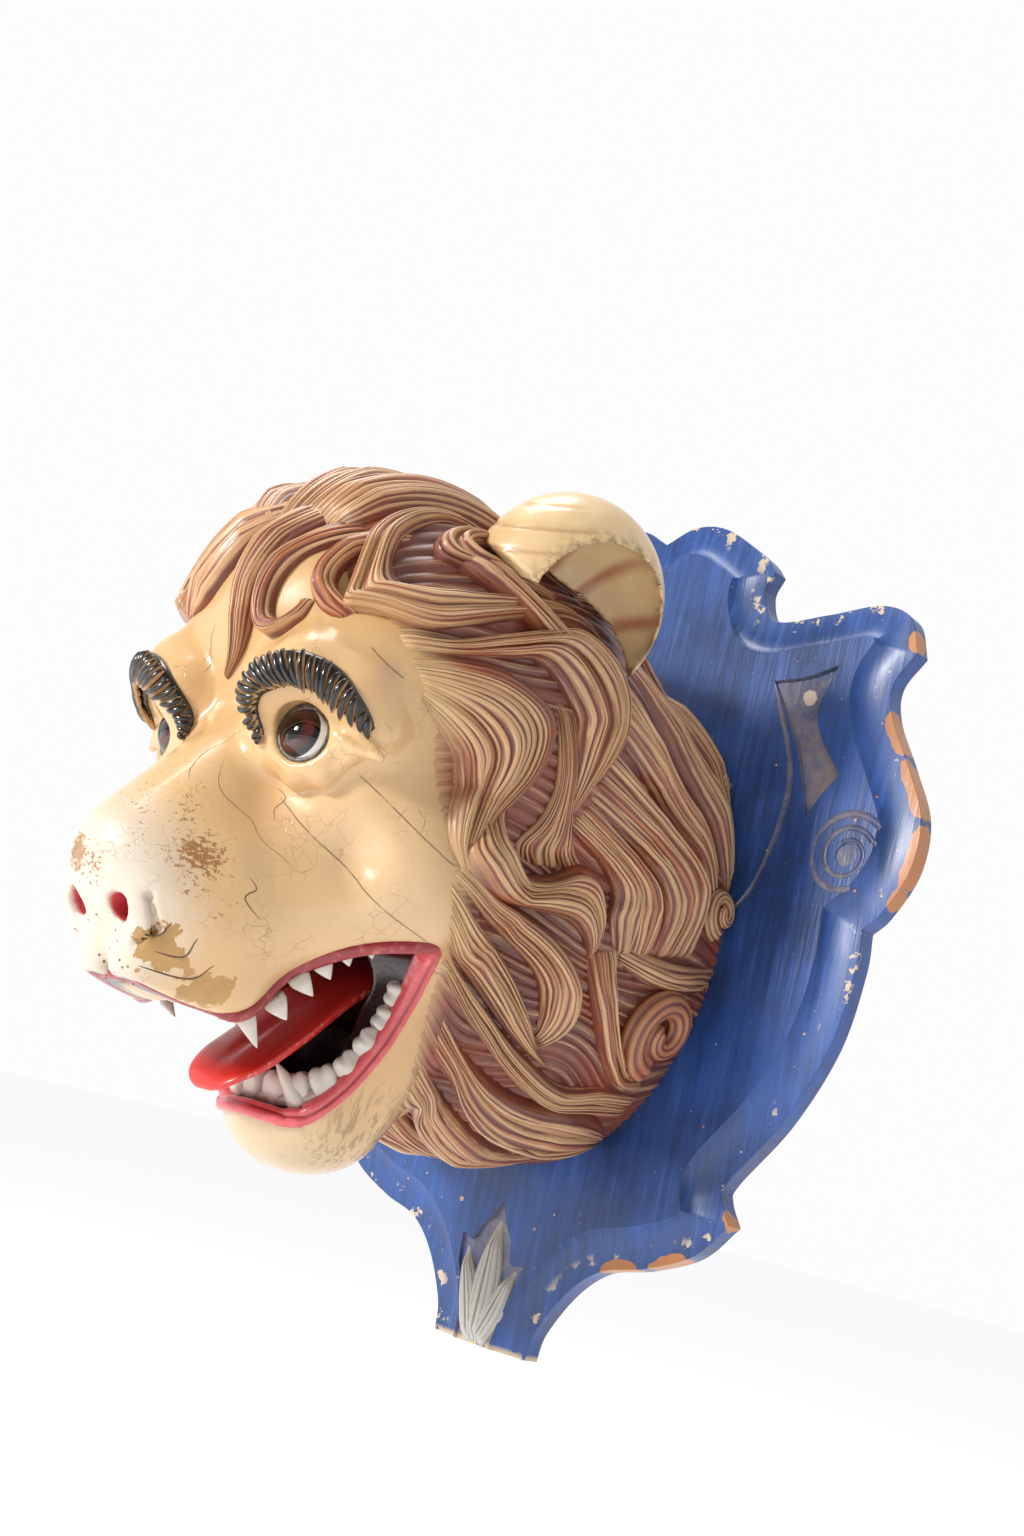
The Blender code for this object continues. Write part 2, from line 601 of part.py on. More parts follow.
def lower_teeth(head):
    """the lower row with its two pointed teeth, in one piece, and its bed in the jaw"""
    row = add("lower_teeth", lower_row(), IVORY, PARTS)
    cut(head, add("lower_bed", lower_row(FIT_GAP), None, CUTTERS))
    for sign, side in SIDES:
        foot, tip = (mirrored(p, sign) for p in LOWER_FANG)
        axis = unit(tip - foot)
        across = unit(np.cross(axis, (0, 0, 1)))
        sizes = (np.linalg.norm(tip - foot), LOWER_FANG_WIDTH * HEAD_SCALE)
        fang = loft("fang", tooth(foot, axis, across, *sizes))
        cut(row, add("fang_" + side, fang, None, CUTTERS), "UNION")
        bed = loft("fang_bed", tooth(foot, axis, across, *sizes, grow=FIT_GAP))
        cut(head, add("fang_bed_" + side, bed, None, CUTTERS))


def tongue_sections(grow=0.0):
    """flat sections along the tongue: round at the tip and thicker in the middle"""
    run = spline([(0, f, u) for f, u in TONGUE_RUN], 12)
    centre = head_point(run)
    ahead = np.gradient(centre, axis=0)
    ahead /= np.linalg.norm(ahead, axis=1)[:, None]
    up = np.cross(ahead, (1, 0, 0))
    reach = np.linalg.norm(centre - centre[0], axis=1)
    turn = np.linspace(0, 2 * np.pi, 12, endpoint=False)
    sections = []
    for place, lift, gone in zip(centre, up, reach):
        share = min(1.0, (gone + 0.004) / (0.55 * TONGUE_WIDTH))
        wide = TONGUE_WIDTH / 2 * math.sqrt(1 - (1 - share) ** 2) + grow
        deep = TONGUE_THICKNESS / 2 * (0.55 + 0.45 * share) + grow
        side = np.sign(np.cos(turn)) * np.abs(np.cos(turn)) ** 0.8 * wide
        rise = np.sign(np.sin(turn)) * np.abs(np.sin(turn)) ** 0.6 * deep
        sections.append(place + side[:, None] * np.array([1, 0, 0]) + rise[:, None] * lift)
    return sections


def make_tongue(head):
    """the tongue slab, let into the back of the throat"""
    add("tongue", loft("tongue", tongue_sections()), RED, PARTS)
    cut(head, add("tongue_bed", loft("tongue_bed", tongue_sections(FIT_GAP)), None, CUTTERS))


def make_eyes(head):
    """glass balls behind round openings that are a little wider"""
    for sign, side in SIDES:
        centre = mirrored(EYE_CENTRE, sign)
        ball("eye_" + side, centre, (EYE_RADIUS,) * 3, PARTS, GLASS)
        bed = (EYE_RADIUS + FIT_GAP,) * 3
        cut(head, ball("eye_bed_" + side, centre, bed, CUTTERS))
        opening = (SOCKET_RADIUS,) * 3
        cut(head, ball("lids_" + side, mirrored(SOCKET_CENTRE, sign), opening, CUTTERS))


def make_ears(head):
    """hollow ears, each an egg with its inside taken out, and their pockets in the head"""
    for sign, side in SIDES:
        opens = unit(np.array(EAR_OPENS) * np.array([sign, -1, 1]))
        rise = unit(np.array([0, 0, 1]) - opens * opens[2])
        ahead = np.cross(opens, rise) * sign
        axes = (opens, ahead, rise)
        centre = mirrored(EAR_CENTRE, sign)
        radii = np.array([EAR_DEPTH, EAR_WIDTH / 2, EAR_WIDTH / 2])
        ear = ball("ear_" + side, centre, radii, PARTS, CREAM, axes, EAR_RINGS)
        shift = np.array(EAR_HOLLOW_SHIFT) * HEAD_SCALE
        inside = radii - EAR_WALL - np.array([0, 1, 1]) * np.hypot(shift[1], shift[2])
        hollow = ball("ear_hollow_" + side, centre + shift @ np.array(axes), inside, CUTTERS, axes=axes)
        cut(ear, hollow)
        pocket = ball("ear_pocket_" + side, centre, radii + FIT_GAP, CUTTERS, None, axes, EAR_RINGS)
        cut(head, pocket)


def mouth_cutter():
    """the mouth's side outline carried right across the muzzle"""
    half = HEAD_LENGTH * 0.4
    bm = bmesh.new()
    places = head_point([(0, f, u) for f, u in MOUTH])
    face = bm.faces.new([bm.verts.new((-half, p[1], p[2])) for p in places])
    moved = bmesh.ops.extrude_face_region(bm, geom=[face])["geom"]
    verts = [v for v in moved if isinstance(v, bmesh.types.BMVert)]
    bmesh.ops.translate(bm, verts=verts, vec=(2 * half, 0, 0))
    return add("mouth", mesh_from(bm, "mouth"), None, CUTTERS)


def make_head():
    """the head with its mane, fused in one block and then cut"""
    pieces = [head_block()]
    for sign, _ in SIDES:
        for _, rail_a, rail_b, ridges, rise in SHEAVES:
            pieces.append(sheaf(rail_a, rail_b, ridges, rise, sign))
        for place, radius in CURLS:
            pieces.append(curl(place, radius, sign))
    pieces.append(sheaf(*CREST[1:3], CREST[3], CREST[4], 1))
    pieces.append(sheaf(*FORELOCK[:2], FORELOCK[2], FORELOCK[3], 1, place=brow_place))
    block = add("block", joined(pieces, "block"), None, CUTTERS)
    # The voxels lie where they do on the drawn head, wherever the seat is
    drawn = np.array(DRAWN_SEAT) * HEAD_SCALE - SEAT
    block.data.transform(Matrix.Translation(drawn))
    fuse = block.modifiers.new("fuse", "REMESH")
    fuse.mode = "VOXEL"
    fuse.voxel_size = VOXEL
    whole = evaluated(block)
    whole.calc_loop_triangles()
    thin = block.modifiers.new("thin", "DECIMATE")
    thin.ratio = HEAD_FACES / len(whole.loop_triangles)
    bpy.data.meshes.remove(whole)
    thinned = evaluated(block)
    thinned.transform(Matrix.Translation(-drawn))
    bpy.data.objects.remove(block, do_unlink=True)
    return add("lion_head", thinned, CREAM, PARTS)


def seat_cutter():
    """all that lies behind the field, so the head's back is flat"""
    bm = bmesh.new()
    bmesh.ops.create_cube(bm, size=1.0)
    for v in bm.verts:
        v.co.x *= BOARD_HEIGHT
        v.co.z *= BOARD_HEIGHT * 1.4
        v.co.y = FIELD_Y - FIT_GAP + (v.co.y + 0.5) * 0.5
    return add("seat", mesh_from(bm, "seat"), None, CUTTERS)


make_board()
head = make_head()
cut(head, seat_cutter())
cut(head, mouth_cutter())
for number, (place, radii) in enumerate(MOUTH_HOLLOWS, 1):
    sizes = np.array(radii) * HEAD_SCALE
    cut(head, ball("mouth_hollow_%d" % number, head_point(place), sizes, CUTTERS))
make_eyes(head)
make_ears(head)
upper_teeth(head)
lower_teeth(head)
make_tongue(head)
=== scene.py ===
"""Looks of the carved and painted lion's head on its shaped wall board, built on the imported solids.

The head's masses are laid out in thousandths at the carved size as (side, forward, up): side from the
centre line, forward from the board's field and up from the middle of the head's seat. The board is laid
out as (side, height) from its tip. Two placing functions turn them into the part's own frame.
"""
import math

import bmesh
import bpy
import numpy as np
from mathutils import Matrix, Vector


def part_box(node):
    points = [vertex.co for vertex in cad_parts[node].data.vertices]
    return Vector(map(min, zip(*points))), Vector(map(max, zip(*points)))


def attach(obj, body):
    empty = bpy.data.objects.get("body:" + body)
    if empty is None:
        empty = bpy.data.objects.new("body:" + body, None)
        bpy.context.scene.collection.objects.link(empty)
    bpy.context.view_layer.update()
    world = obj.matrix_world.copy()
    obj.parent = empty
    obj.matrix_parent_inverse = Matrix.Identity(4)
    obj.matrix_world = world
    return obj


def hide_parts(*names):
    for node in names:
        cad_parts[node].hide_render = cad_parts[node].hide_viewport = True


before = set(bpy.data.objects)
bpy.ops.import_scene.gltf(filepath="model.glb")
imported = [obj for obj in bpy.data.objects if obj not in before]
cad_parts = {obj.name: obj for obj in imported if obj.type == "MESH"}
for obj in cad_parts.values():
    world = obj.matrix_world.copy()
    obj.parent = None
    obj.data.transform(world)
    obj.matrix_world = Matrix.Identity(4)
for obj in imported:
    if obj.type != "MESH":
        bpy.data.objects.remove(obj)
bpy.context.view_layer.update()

bl_info = {
    "name": "Lion wall mask",
    "version": (1, 0, 0),
    "blender": (4, 5, 0),
    "location": "View3D > Sidebar > Lion mask",
    "description": "Carved and painted lion's head with its mane, jaws and shaped blue board",
    "category": "Object",
}

UNIT = 0.001
BOARD_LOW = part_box("shield_board")[0]
SEAT_UP = 318 * UNIT + BOARD_LOW.z
FIELD_Y = -0.024
SEAT = np.array([0.0, FIELD_Y, SEAT_UP])
SIDES = ((1, "left"), (-1, "right"))

# Right half of the board's outline, one row for each stretch between two corners
OUTLINE = (
    ((0, 637), (27, 650), (59, 646), (98, 622), (112, 608)),
    ((112, 608), (107, 590), (122, 567), (168, 571), (210, 577), (236, 567), (247, 540)),
    ((247, 540), (233, 517), (237, 492), (256, 458), (274, 421), (274, 384), (259, 352), (247, 339)),
    ((247, 339), (248, 310), (240, 257), (216, 202), (183, 155), (181, 143), (191, 127)),
    ((191, 127), (167, 101), (129, 84), (94, 74), (69, 53), (49, 21), (45, 0)),
)
KITE = (((139, 515), (165, 518), (191, 527)), ((191, 527), (182, 487), (209, 445)),
        ((209, 445), (198, 430), (189, 414)), ((189, 414), (170, 465), (139, 515)))
VOLUTE_CENTRE = (228, 388)
# Both windings of a scroll: turns, radius, tightening and start, then its groove's width, how much that
# falls and how far the tool stands out
SCROLLS = (("scroll_", (1.15, 32, 0.30, 250), 1.1, 0.35, 0.0006),
           ("inner_scroll_", (1.25, 21, 0.52, 300), 0.85, 0.3, 0.0004))
CREASE = ((139, 515), (170, 440), (160, 365), (133, 327))

# The head's masses: eggs are centre, radii, tilt and blend; tapers run between two balls
EGGS = (
    ((0, 271, 112), (122, 108, 112), 0, 1), ((56, 309, 70), (52, 62, 56), 0, 22),
    ((0, 176, 82), (146, 150, 140), 0, 34), ((25, 363, -88), (35, 52, 42), -20, 20),
    ((0, 51, 0), (144, 240, 188), 0, 34), ((0, 224, -181), (35, 45, 41), 0, 24),
)
TAPERS = (
    ((0, 320, 26), (0, 399, -62), 41, 38, 30), ((56, 291, 12), (64, 253, -28), 46, 52, 30),
    ((14, 384, -122), (33, 338, -122), 22, 23, 14),
    ((30, 331, -68), (74, 259, -28), 44, 50, 34), ((22, 219, -178), (50, 197, -86), 40, 44, 24),
    ((38, 356, 22), (46, 370, 54), 8, 14, 20), ((46, 372, 54), (66, 364, 68), 14, 15, 20),
    ((66, 364, 68), (90, 345, 60), 15, 14, 20), ((90, 345, 60), (102, 329, 44), 14, 10, 20),
)
# What the carver added to the face: start, end, two radii and blend
FOLDS = (
    ((44, 357, 13), (60, 350, 4), 3.5, 4.5, 7), ((60, 350, 4), (76, 343, 8), 4.5, 4.5, 7),
    ((76, 343, 8), (92, 338, 22), 4.5, 3.5, 8), ((92, 345, 30), (112, 334, 24), 5, 3, 10),
    ((30, 408, -94), (32, 402, -104), 10, 9, 8), ((6, 372, -136), (30, 366, -134), 4, 4, 6),
)
# What was cut out of the face: start, end, two radii and blend
CUTS = (
    ((28, 446, -103), (19, 404, -95), 10.6, 7.0, 3), ((40, 412, -88), (41, 402, -104), 1.6, 1.8, 4),
    ((41, 402, -104), (28, 404, -115), 1.8, 1.2, 4), ((84, 356, -46), (96, 322, -36), 9, 12, 26),
    ((90, 352, 36), (108, 342, 28), 1.4, 1.0, 5), ((0, 424, -118), (0, 380, -138), 2.0, 3.0, 8),
)
MOUTH = ((551, -138), (411, -132), (380, -138), (357, -141), (339, -141), (326, -134), (311, -112),
         (295, -89), (279, -78), (258, -72), (245, -73), (237, -80), (231, -94), (230, -110),
         (232, -128), (237, -148), (243, -166), (251, -181), (259, -189), (274, -187), (551, -238))
MOUTH_HOLLOWS = (((0, 276, -113), (40, 60, 40)), ((0, 216, -96), (44, 70, 34)),
                 ((0, 226, -130), (38, 40, 56)))
EYE_CENTRE = (61, 346, 30)
EYE_OPENS = (0.40, 0.915, 0.03)
EYE_LOOKS = (0.13, 0.98, 0.04)
EYE_SOCKET = 19.9
# The lid's ring: how far it lies out of the eye's centre, its radius and its thickness, then its opening
LID_OUT, LID_RADIUS, LID_THICKNESS = 8.5, 20.4, 4.2
LID_OPENING = (16.8, 17, 19.4)
# The face's far corners, where it ends behind and how deep it sinks under the mane
FACE_BOX = ((-136, 146, -236), (136, 446, 232))
FACE_BACK = 150
MANE_SINK = 3.2
HAIRLINE = ((0, 377), (20, 375), (38, 372), (48, 336), (60, 303), (82, 284), (100, 273), (115, 253),
            (134, 224), (147, 215), (158, 201), (170, 187), (180, 181))
NECK_LINE_UP = 12

# A sheaf of locks lies between two rails of (share, angle): share from the hairline to the board,
# angle from the crown, so 90 is the side and 180 the throat. Then combs and rise.
SHEAVES = (
    (((0.13, 31), (0.17, 35), (0.22, 40), (0.27, 45), (0.31, 51), (0.33, 58)),
     ((0.23, 31), (0.27, 35), (0.32, 40), (0.36, 44), (0.40, 49), (0.42, 57)), 2, 17),
    (((0.30, 19), (0.14, 21), (0.07, 24), (0.05, 29), (0.035, 36), (0.02, 43), (0.04, 48), (0.14, 47),
      (0.29, 43), (0.46, 38), (0.54, 41)),
     ((0.30, 24), (0.20, 24), (0.12, 27), (0.09, 31), (0.09, 36), (0.12, 40), (0.19, 41), (0.33, 38),
      (0.46, 33)), 2, 17),
    (((0.34, 25), (0.22, 27), (0.15, 30), (0.16, 35), (0.26, 37), (0.42, 35)),
     ((0.42, 28), (0.30, 29), (0.22, 31), (0.24, 34), (0.32, 34), (0.44, 32)), 2, 14),
    (((-0.01, 48), (0.06, 50), (0.17, 48), (0.30, 45), (0.42, 42), (0.48, 46), (0.48, 53), (0.44, 63),
      (0.39, 71), (0.34, 82)),
     ((-0.03, 53), (0.08, 53), (0.18, 52), (0.25, 51), (0.29, 54), (0.31, 60), (0.31, 67), (0.32, 75),
      (0.33, 83)), 3, 19),
    (((-0.04, 54), (0.06, 53), (0.17, 54), (0.26, 60), (0.26, 69), (0.22, 78), (0.16, 88), (0.10, 97),
      (0.07, 104)),
     ((-0.05, 64), (0.00, 69), (0.04, 75), (0.04, 83), (0.01, 92), (0.00, 100), (0.02, 108)), 3, 15),
    (((0.21, 78), (0.19, 86), (0.18, 94), (0.24, 99), (0.33, 97), (0.41, 91), (0.48, 93), (0.53, 101),
      (0.52, 112)),
     ((0.08, 90), (0.04, 98), (0.02, 104), (0.09, 109), (0.20, 110), (0.32, 108), (0.41, 107), (0.47, 110),
      (0.50, 115)), 2, 20),
    (((0.26, 57), (0.27, 66), (0.28, 76), (0.26, 84), (0.22, 92), (0.24, 98)),
     ((0.32, 57), (0.33, 68), (0.34, 78), (0.37, 85), (0.41, 89), (0.46, 92)), 2, 8),
    (((0.34, 83), (0.45, 88), (0.53, 94), (0.54, 102), (0.58, 110)),
     ((0.40, 74), (0.55, 81), (0.68, 88), (0.73, 97), (0.72, 108)), 2, 16),
    (((0.38, 77), (0.54, 82), (0.67, 88), (0.72, 97), (0.71, 108)),
     ((0.44, 61), (0.62, 68), (0.80, 76), (0.89, 86), (0.90, 103)), 3, 18),
    (((0.45, 60), (0.60, 66), (0.74, 72), (0.86, 78), (0.94, 88)),
     ((0.52, 44), (0.58, 52), (0.70, 58), (0.84, 65), (0.95, 76)), 3, 15),
    (((0.58, 42), (0.70, 50), (0.82, 59), (0.92, 70), (1.00, 84)),
     ((0.68, 33), (0.80, 39), (0.91, 49), (0.98, 60), (1.03, 74)), 2, 15),
    (((0.78, 28), (0.88, 35), (0.95, 46), (1.00, 60)),
     ((0.88, 18), (0.96, 28), (1.00, 42), (1.03, 58)), 2, 13),
    (((0.48, 112), (0.52, 121), (0.59, 129), (0.67, 135), (0.80, 139), (0.95, 138)),
     ((0.61, 107), (0.60, 116), (0.64, 124), (0.73, 131), (0.84, 133)), 2, 15),
    (((0.60, 112), (0.72, 114), (0.85, 113), (1.00, 111)),
     ((0.60, 106), (0.74, 106), (0.88, 105), (1.03, 102)), 1, 12),
    (((-0.02, 107), (0.09, 114), (0.22, 119), (0.32, 123), (0.36, 129), (0.38, 137)),
     ((0.03, 102), (0.13, 108), (0.30, 110), (0.42, 114), (0.50, 121), (0.51, 130), (0.43, 139)), 2, 16),
    (((-0.03, 107), (0.05, 114), (0.17, 120), (0.27, 127), (0.36, 135), (0.42, 140)),
     ((-0.03, 121), (0.05, 130), (0.15, 135), (0.28, 139), (0.42, 141), (0.56, 142)), 2, 12),
    (((-0.03, 122), (0.06, 132), (0.20, 137), (0.38, 141), (0.58, 143), (0.76, 140), (0.98, 140)),
     ((0.02, 136), (0.14, 141), (0.32, 146), (0.52, 149), (0.72, 148), (0.97, 148)), 2, 14),
    (((0.04, 141), (0.20, 148), (0.38, 150), (0.54, 149), (0.70, 147), (0.88, 149), (1.00, 154)),
     ((0.06, 151), (0.22, 157), (0.42, 162), (0.62, 163), (0.84, 161), (1.01, 157)), 3, 18),
    (((0.02, 151), (0.18, 159), (0.38, 163), (0.62, 166), (0.86, 166)),
     ((0.00, 160), (0.16, 169), (0.35, 175), (0.60, 177), (0.84, 171)), 2, 16),
    (((0.02, 168), (0.20, 173), (0.45, 176), (0.80, 175)),
     ((0.03, 180), (0.25, 181), (0.50, 181), (0.82, 180)), 1, 11),
    (((0.03, 4), (0.06, 6), (0.13, 7), (0.26, 8), (0.42, 9), (0.58, 10)),
     ((0.05, 17), (0.08, 20), (0.16, 21), (0.28, 22), (0.40, 26), (0.55, 32)), 3, 17),
    (((0.50, 34), (0.64, 34), (0.80, 34), (0.98, 36)),
     ((0.46, 8), (0.64, 9), (0.82, 10), (1.00, 12)), 3, 13),
)
CREST = (((0.03, 6), (0.14, 8), (0.34, 9), (0.60, 10), (0.84, 11)),
         ((0.03, -6), (0.14, -8), (0.34, -9), (0.60, -10), (0.84, -11)), 2, 17)
CURLS = (((0.84, 123), 28), ((1.00, 47), 11), ((0.96, 88), 15))
# Locks that fall over the forehead, with rails of (side, up) as seen from the front
FRONT_LOCKS = (
    (((-4, 186), (-26, 166), (-46, 142), (-60, 118), (-70, 104)),
     ((-16, 196), (-48, 180), (-70, 156), (-84, 130), (-92, 108)), 2, 15),
    (((-1, 180), (-12, 152), (-24, 130), (-42, 110), (-62, 103)),
     ((-6, 186), (-28, 162), (-46, 140), (-58, 122), (-68, 106)), 2, 13),
    (((76, 178), (63, 160), (55, 144), (51, 130), (53, 116), (63, 105), (78, 101)),
     ((86, 168), (76, 154), (68, 144), (64, 132), (66, 122), (74, 115), (84, 110)), 1, 14),
    (((50, 178), (33, 158), (23, 138), (18, 118), (19, 100), (28, 87), (42, 86), (54, 97), (58, 114)),
     ((66, 166), (50, 152), (38, 138), (31, 122), (30, 106), (34, 98), (42, 97), (46, 105), (46, 114)), 1,
      14),
    (((-2, 190), (-5, 164), (-7, 140), (-6, 118), (0, 98), (-1, 78), (-10, 61)),
     ((46, 186), (34, 167), (22, 146), (16, 122), (16, 98), (10, 77), (-7, 59)), 2, 13),
)

EAR_CENTRE = (121, 222, 171)
EAR_OPENS = (0.92, 0.29, -0.28)
EAR_RADII = (50, 69, 69)
EAR_WALL = 6
EAR_SHIFT = np.array([22.0, -7, -7])
EAR_HOLLOW = np.array(EAR_RADII) - EAR_WALL - np.array([0, 1, 1]) * np.hypot(*EAR_SHIFT[1:])
UPPER_TEETH = (((42, 321, -138), 22, 14), ((51, 308, -126), 14, 16), ((59, 301, -109), 15, 15),
               ((65, 292, -96), 12, 15), ((70, 281, -85), 10, 14), ((75, 267, -77), 9, 12))
TOOTH_ROOT = 5 * UNIT
TOOTH_THICKNESS = 6.6 * UNIT
LOWER_ROW = ((0, 252, -176), (17, 251, -176), (33, 249, -171), (50, 238, -158), (60, 231, -139),
             (66, 226, -120), (70, 224, -104), (72, 225, -91))
LOWER_FANG = ((27, 251, -178), (17, 266, -159))
LOWER_TOOTH = 11.5
LOWER_LUMPS = 14
TONGUE_RUN = ((304, -186), (302, -181), (294, -171), (262, -142), (225, -106), (190, -84), (140, -66))
TONGUE_WIDTH = 66
TONGUE_THICKNESS = 11


def linear(code, alpha=1.0):
    """An sRGB hex colour as linear RGBA: the sRGB curve undone for each channel"""
    parts = [int(code[i:i + 2], 16) / 255 for i in (1, 3, 5)]
    return tuple(c / 12.92 if c <= 0.04045 else ((c + 0.055) / 1.055) ** 2.4 for c in parts) + (alpha,)


def colour(name, code, where):
    """A colour setting, whose default is the hex value"""
    return bpy.props.FloatVectorProperty(name=name, description="Colour of " + where, size=4, min=0, max=1,
                                         subtype="COLOR", default=linear(code))


def length(name, size, what):
    """A length setting in metres, given in thousandths"""
    return bpy.props.FloatProperty(name=name, description=what, default=size * UNIT, min=0, unit="LENGTH")


class LionBoardSettings(bpy.types.PropertyGroup):
    """Sizes of the board's carving"""
    cove_width: length("Hollow width", 28, "Width of the hollow that runs round the edge")
    cove_drop: length("Hollow drop", 9, "How far the hollow falls to the edge")
    recess: length("Kite depth", 4, "Depth of the two sunk kites")
    groove: length("Scroll groove", 2.9, "Half width of the scroll's groove where it starts")


class LionHeadSettings(bpy.types.PropertyGroup):
    """Sizes of the face, jaws and mane"""
    face_cell: length("Face cell", 2.43, "Spacing of the points on the face")
    ear_cell: length("Ear cell", 1.9, "Spacing of the points on the ears")
    strand: length("Strand pitch", 4.1, "Spacing of the ridges in the mane")
    strand_depth: length("Strand depth", 2.7, "Deepest cut between two ridges")
    eye: length("Eye radius", 19.5, "Radius of the glass balls")


class LionPaintSettings(bpy.types.PropertyGroup):
    """Colours of the paints"""
    blue: colour("Blue", "#285096", "the board's oil paint")
    deep_blue: colour("Deep blue", "#1e3866", "the board's paint in its darker strokes")
    bare_wood: colour("Bare wood", "#b0713f", "the softwood where the paint has gone")
    dust: colour("Dust", "#9c8c78", "the dust in the board's grooves")
    cream: colour("Cream", "#d6b07c", "the face")
    pale: colour("Pale cream", "#d0c2b0", "the muzzle")
    tan: colour("Tan", "#cfa87c", "the mane's ridges")
    umber: colour("Red umber", "#744034", "the mane's grooves")
    lip: colour("Lip red", "#8f2326", "the upper lip")
    gum: colour("Gum pink", "#d2545a", "the lower lip")
    tongue: colour("Tongue red", "#cd2a22", "the tongue")
    tooth: colour("Tooth white", "#cfc6ba", "the teeth")
    silver: colour("Silver", "#b4b1a9", "the leaf at the tip")


class LionStageSettings(bpy.types.PropertyGroup):
    """Camera and light"""
    lens: bpy.props.FloatProperty(name="Lens", description="Focal length in millimetres", default=39.84,
                                  min=1, unit="CAMERA")
    key: bpy.props.FloatProperty(name="Key light", description="Power of the key light", default=50.0, min=0,
                                 subtype="POWER")
    room: bpy.props.FloatProperty(name="Room light", description="Strength of the light all round",
                                  default=1.08, min=0, subtype="FACTOR")
    backdrop: colour("Backdrop", "#f4f4f5", "the floor and the room behind")


def place(p, sign=1):
    """Places on the drawn head, in the part's frame: scaled, turned to look along -Y and moved to the
    seat, or mirrored to the right side where the sign is -1"""
    return np.asarray(p, float) * UNIT * np.array([sign, -1.0, 1.0]) + SEAT


def board_place(side, height, y):
    """Places on the drawn board, in the part's frame"""
    side, height, y = np.broadcast_arrays(np.asarray(side, float), np.asarray(height, float),
                                          np.asarray(y, float))
    return np.stack([side * UNIT, y, height * UNIT + BOARD_LOW.z], -1)


def unit(v):
    """Each vector over its own length"""
    v = np.asarray(v, float)
    return v / np.maximum(np.linalg.norm(v, axis=-1, keepdims=True), 1e-9)


def spline(knots, count):
    """Points along a Catmull-Rom curve: each stretch is the cubic through its ends, whose slopes
    are half the chord between their neighbours"""
    k = np.array(knots, float)
    k = np.vstack([2 * k[0] - k[1], k, 2 * k[-1] - k[-2]])
    u = np.linspace(0, len(k) - 3 - 1e-9, count)
    i = u.astype(int)
    t = (u - i)[:, None]
    a, b, c, d = k[i], k[i + 1], k[i + 2], k[i + 3]
    return 0.5 * (2 * b + (c - a) * t + (2 * a - 5 * b + 4 * c - d) * t ** 2
                  + (3 * b - a - 3 * c + d) * t ** 3)


def even(points, count):
    """The same line with its points an equal way apart"""
    run = np.concatenate([[0], np.cumsum(np.linalg.norm(np.diff(points, axis=0), axis=1))])
    want = np.linspace(0, run[-1], count)
    return np.stack([np.interp(want, run, points[:, i]) for i in range(points.shape[1])], -1)


def full_turn(count):
    """Even angles all the way round"""
    return np.linspace(0, 2 * np.pi, count, endpoint=False)


def spokes(turn, across, lift):
    """For each point of a line, the directions round it at these angles from across towards lift"""
    across, lift = np.atleast_2d(across), np.atleast_2d(lift)
    return np.cos(turn)[:, None] * across[:, None] + np.sin(turn)[:, None] * lift[:, None]


def ease(low, high, x):
    """0 below the low mark, 1 above the high one, and 3t^2 - 2t^3 between"""
    t = np.clip((x - low) / (high - low), 0, 1)
    return t * t * (3 - 2 * t)


def egg_field(p, centre, radii, tilt):
    """Distance to a tilted ellipsoid: k(k - 1) over the slope of k, where k is 1 on its skin"""
    a = math.radians(tilt)
    q = p - np.array(centre, float)
    forward = q[..., 1] * math.cos(a) - q[..., 2] * math.sin(a)
    up = q[..., 1] * math.sin(a) + q[..., 2] * math.cos(a)
    q = np.stack([q[..., 0], forward, up], -1)
    radii = np.array(radii, float)
    near = np.sqrt(((q / radii) ** 2).sum(-1))
    slope = np.sqrt(((q / radii ** 2) ** 2).sum(-1))
    return near * (near - 1) / np.maximum(slope, 1e-9)


def taper_field(p, start, end, r0, r1):
    """Distance to the line between two points, less a radius that grows along it"""
    start, end = np.array(start, float), np.array(end, float)
    run = end - start
    t = np.clip(((p - start) @ run) / (run @ run), 0, 1)
    return np.sqrt(((p - start - t[..., None] * run) ** 2).sum(-1)) - (r0 + (r1 - r0) * t)


def blend(a, b, width):
    """The nearer of two distances, less w t(1 - t) where they are within a width of each other"""
    t = np.clip(0.5 + 0.5 * (b - a) / width, 0, 1)
    return b + (a - b) * t - width * t * (1 - t)


def both_sides(p):
    """The place on the left side that stands for this one, rounded over the centre line"""
    return np.stack([np.sqrt(p[..., 0] ** 2 + 1.0), p[..., 1], p[..., 2]], -1)


def skin(p):
    """Signed distance to the head's masses, blended one after the other"""
    q = both_sides(p)
    f = np.full(p.shape[:-1], 1e3)
    for centre, radii, tilt, width in EGGS:
        f = blend(f, egg_field(q, centre, radii, tilt), width)
    for start, end, r0, r1, width in TAPERS:
        f = blend(f, taper_field(q, start, end, r0, r1), width)
    return f


def walk_in(origin, direction, reach, steps=44, field=skin):
    """From far out along each ray back to the skin, four fifths of the distance at a time"""
    t = np.full(origin.shape[:-1], float(reach))
    for _ in range(steps):
        t = t - 0.8 * field(origin + direction * t[..., None])
    return origin + direction * t[..., None]


def slope_of(field, p, step=0.4):
    """The field's slope, by the difference over a short step each way"""
    return np.stack([field(p + step * e) - field(p - step * e) for e in np.eye(3)], -1) / (2 * step)


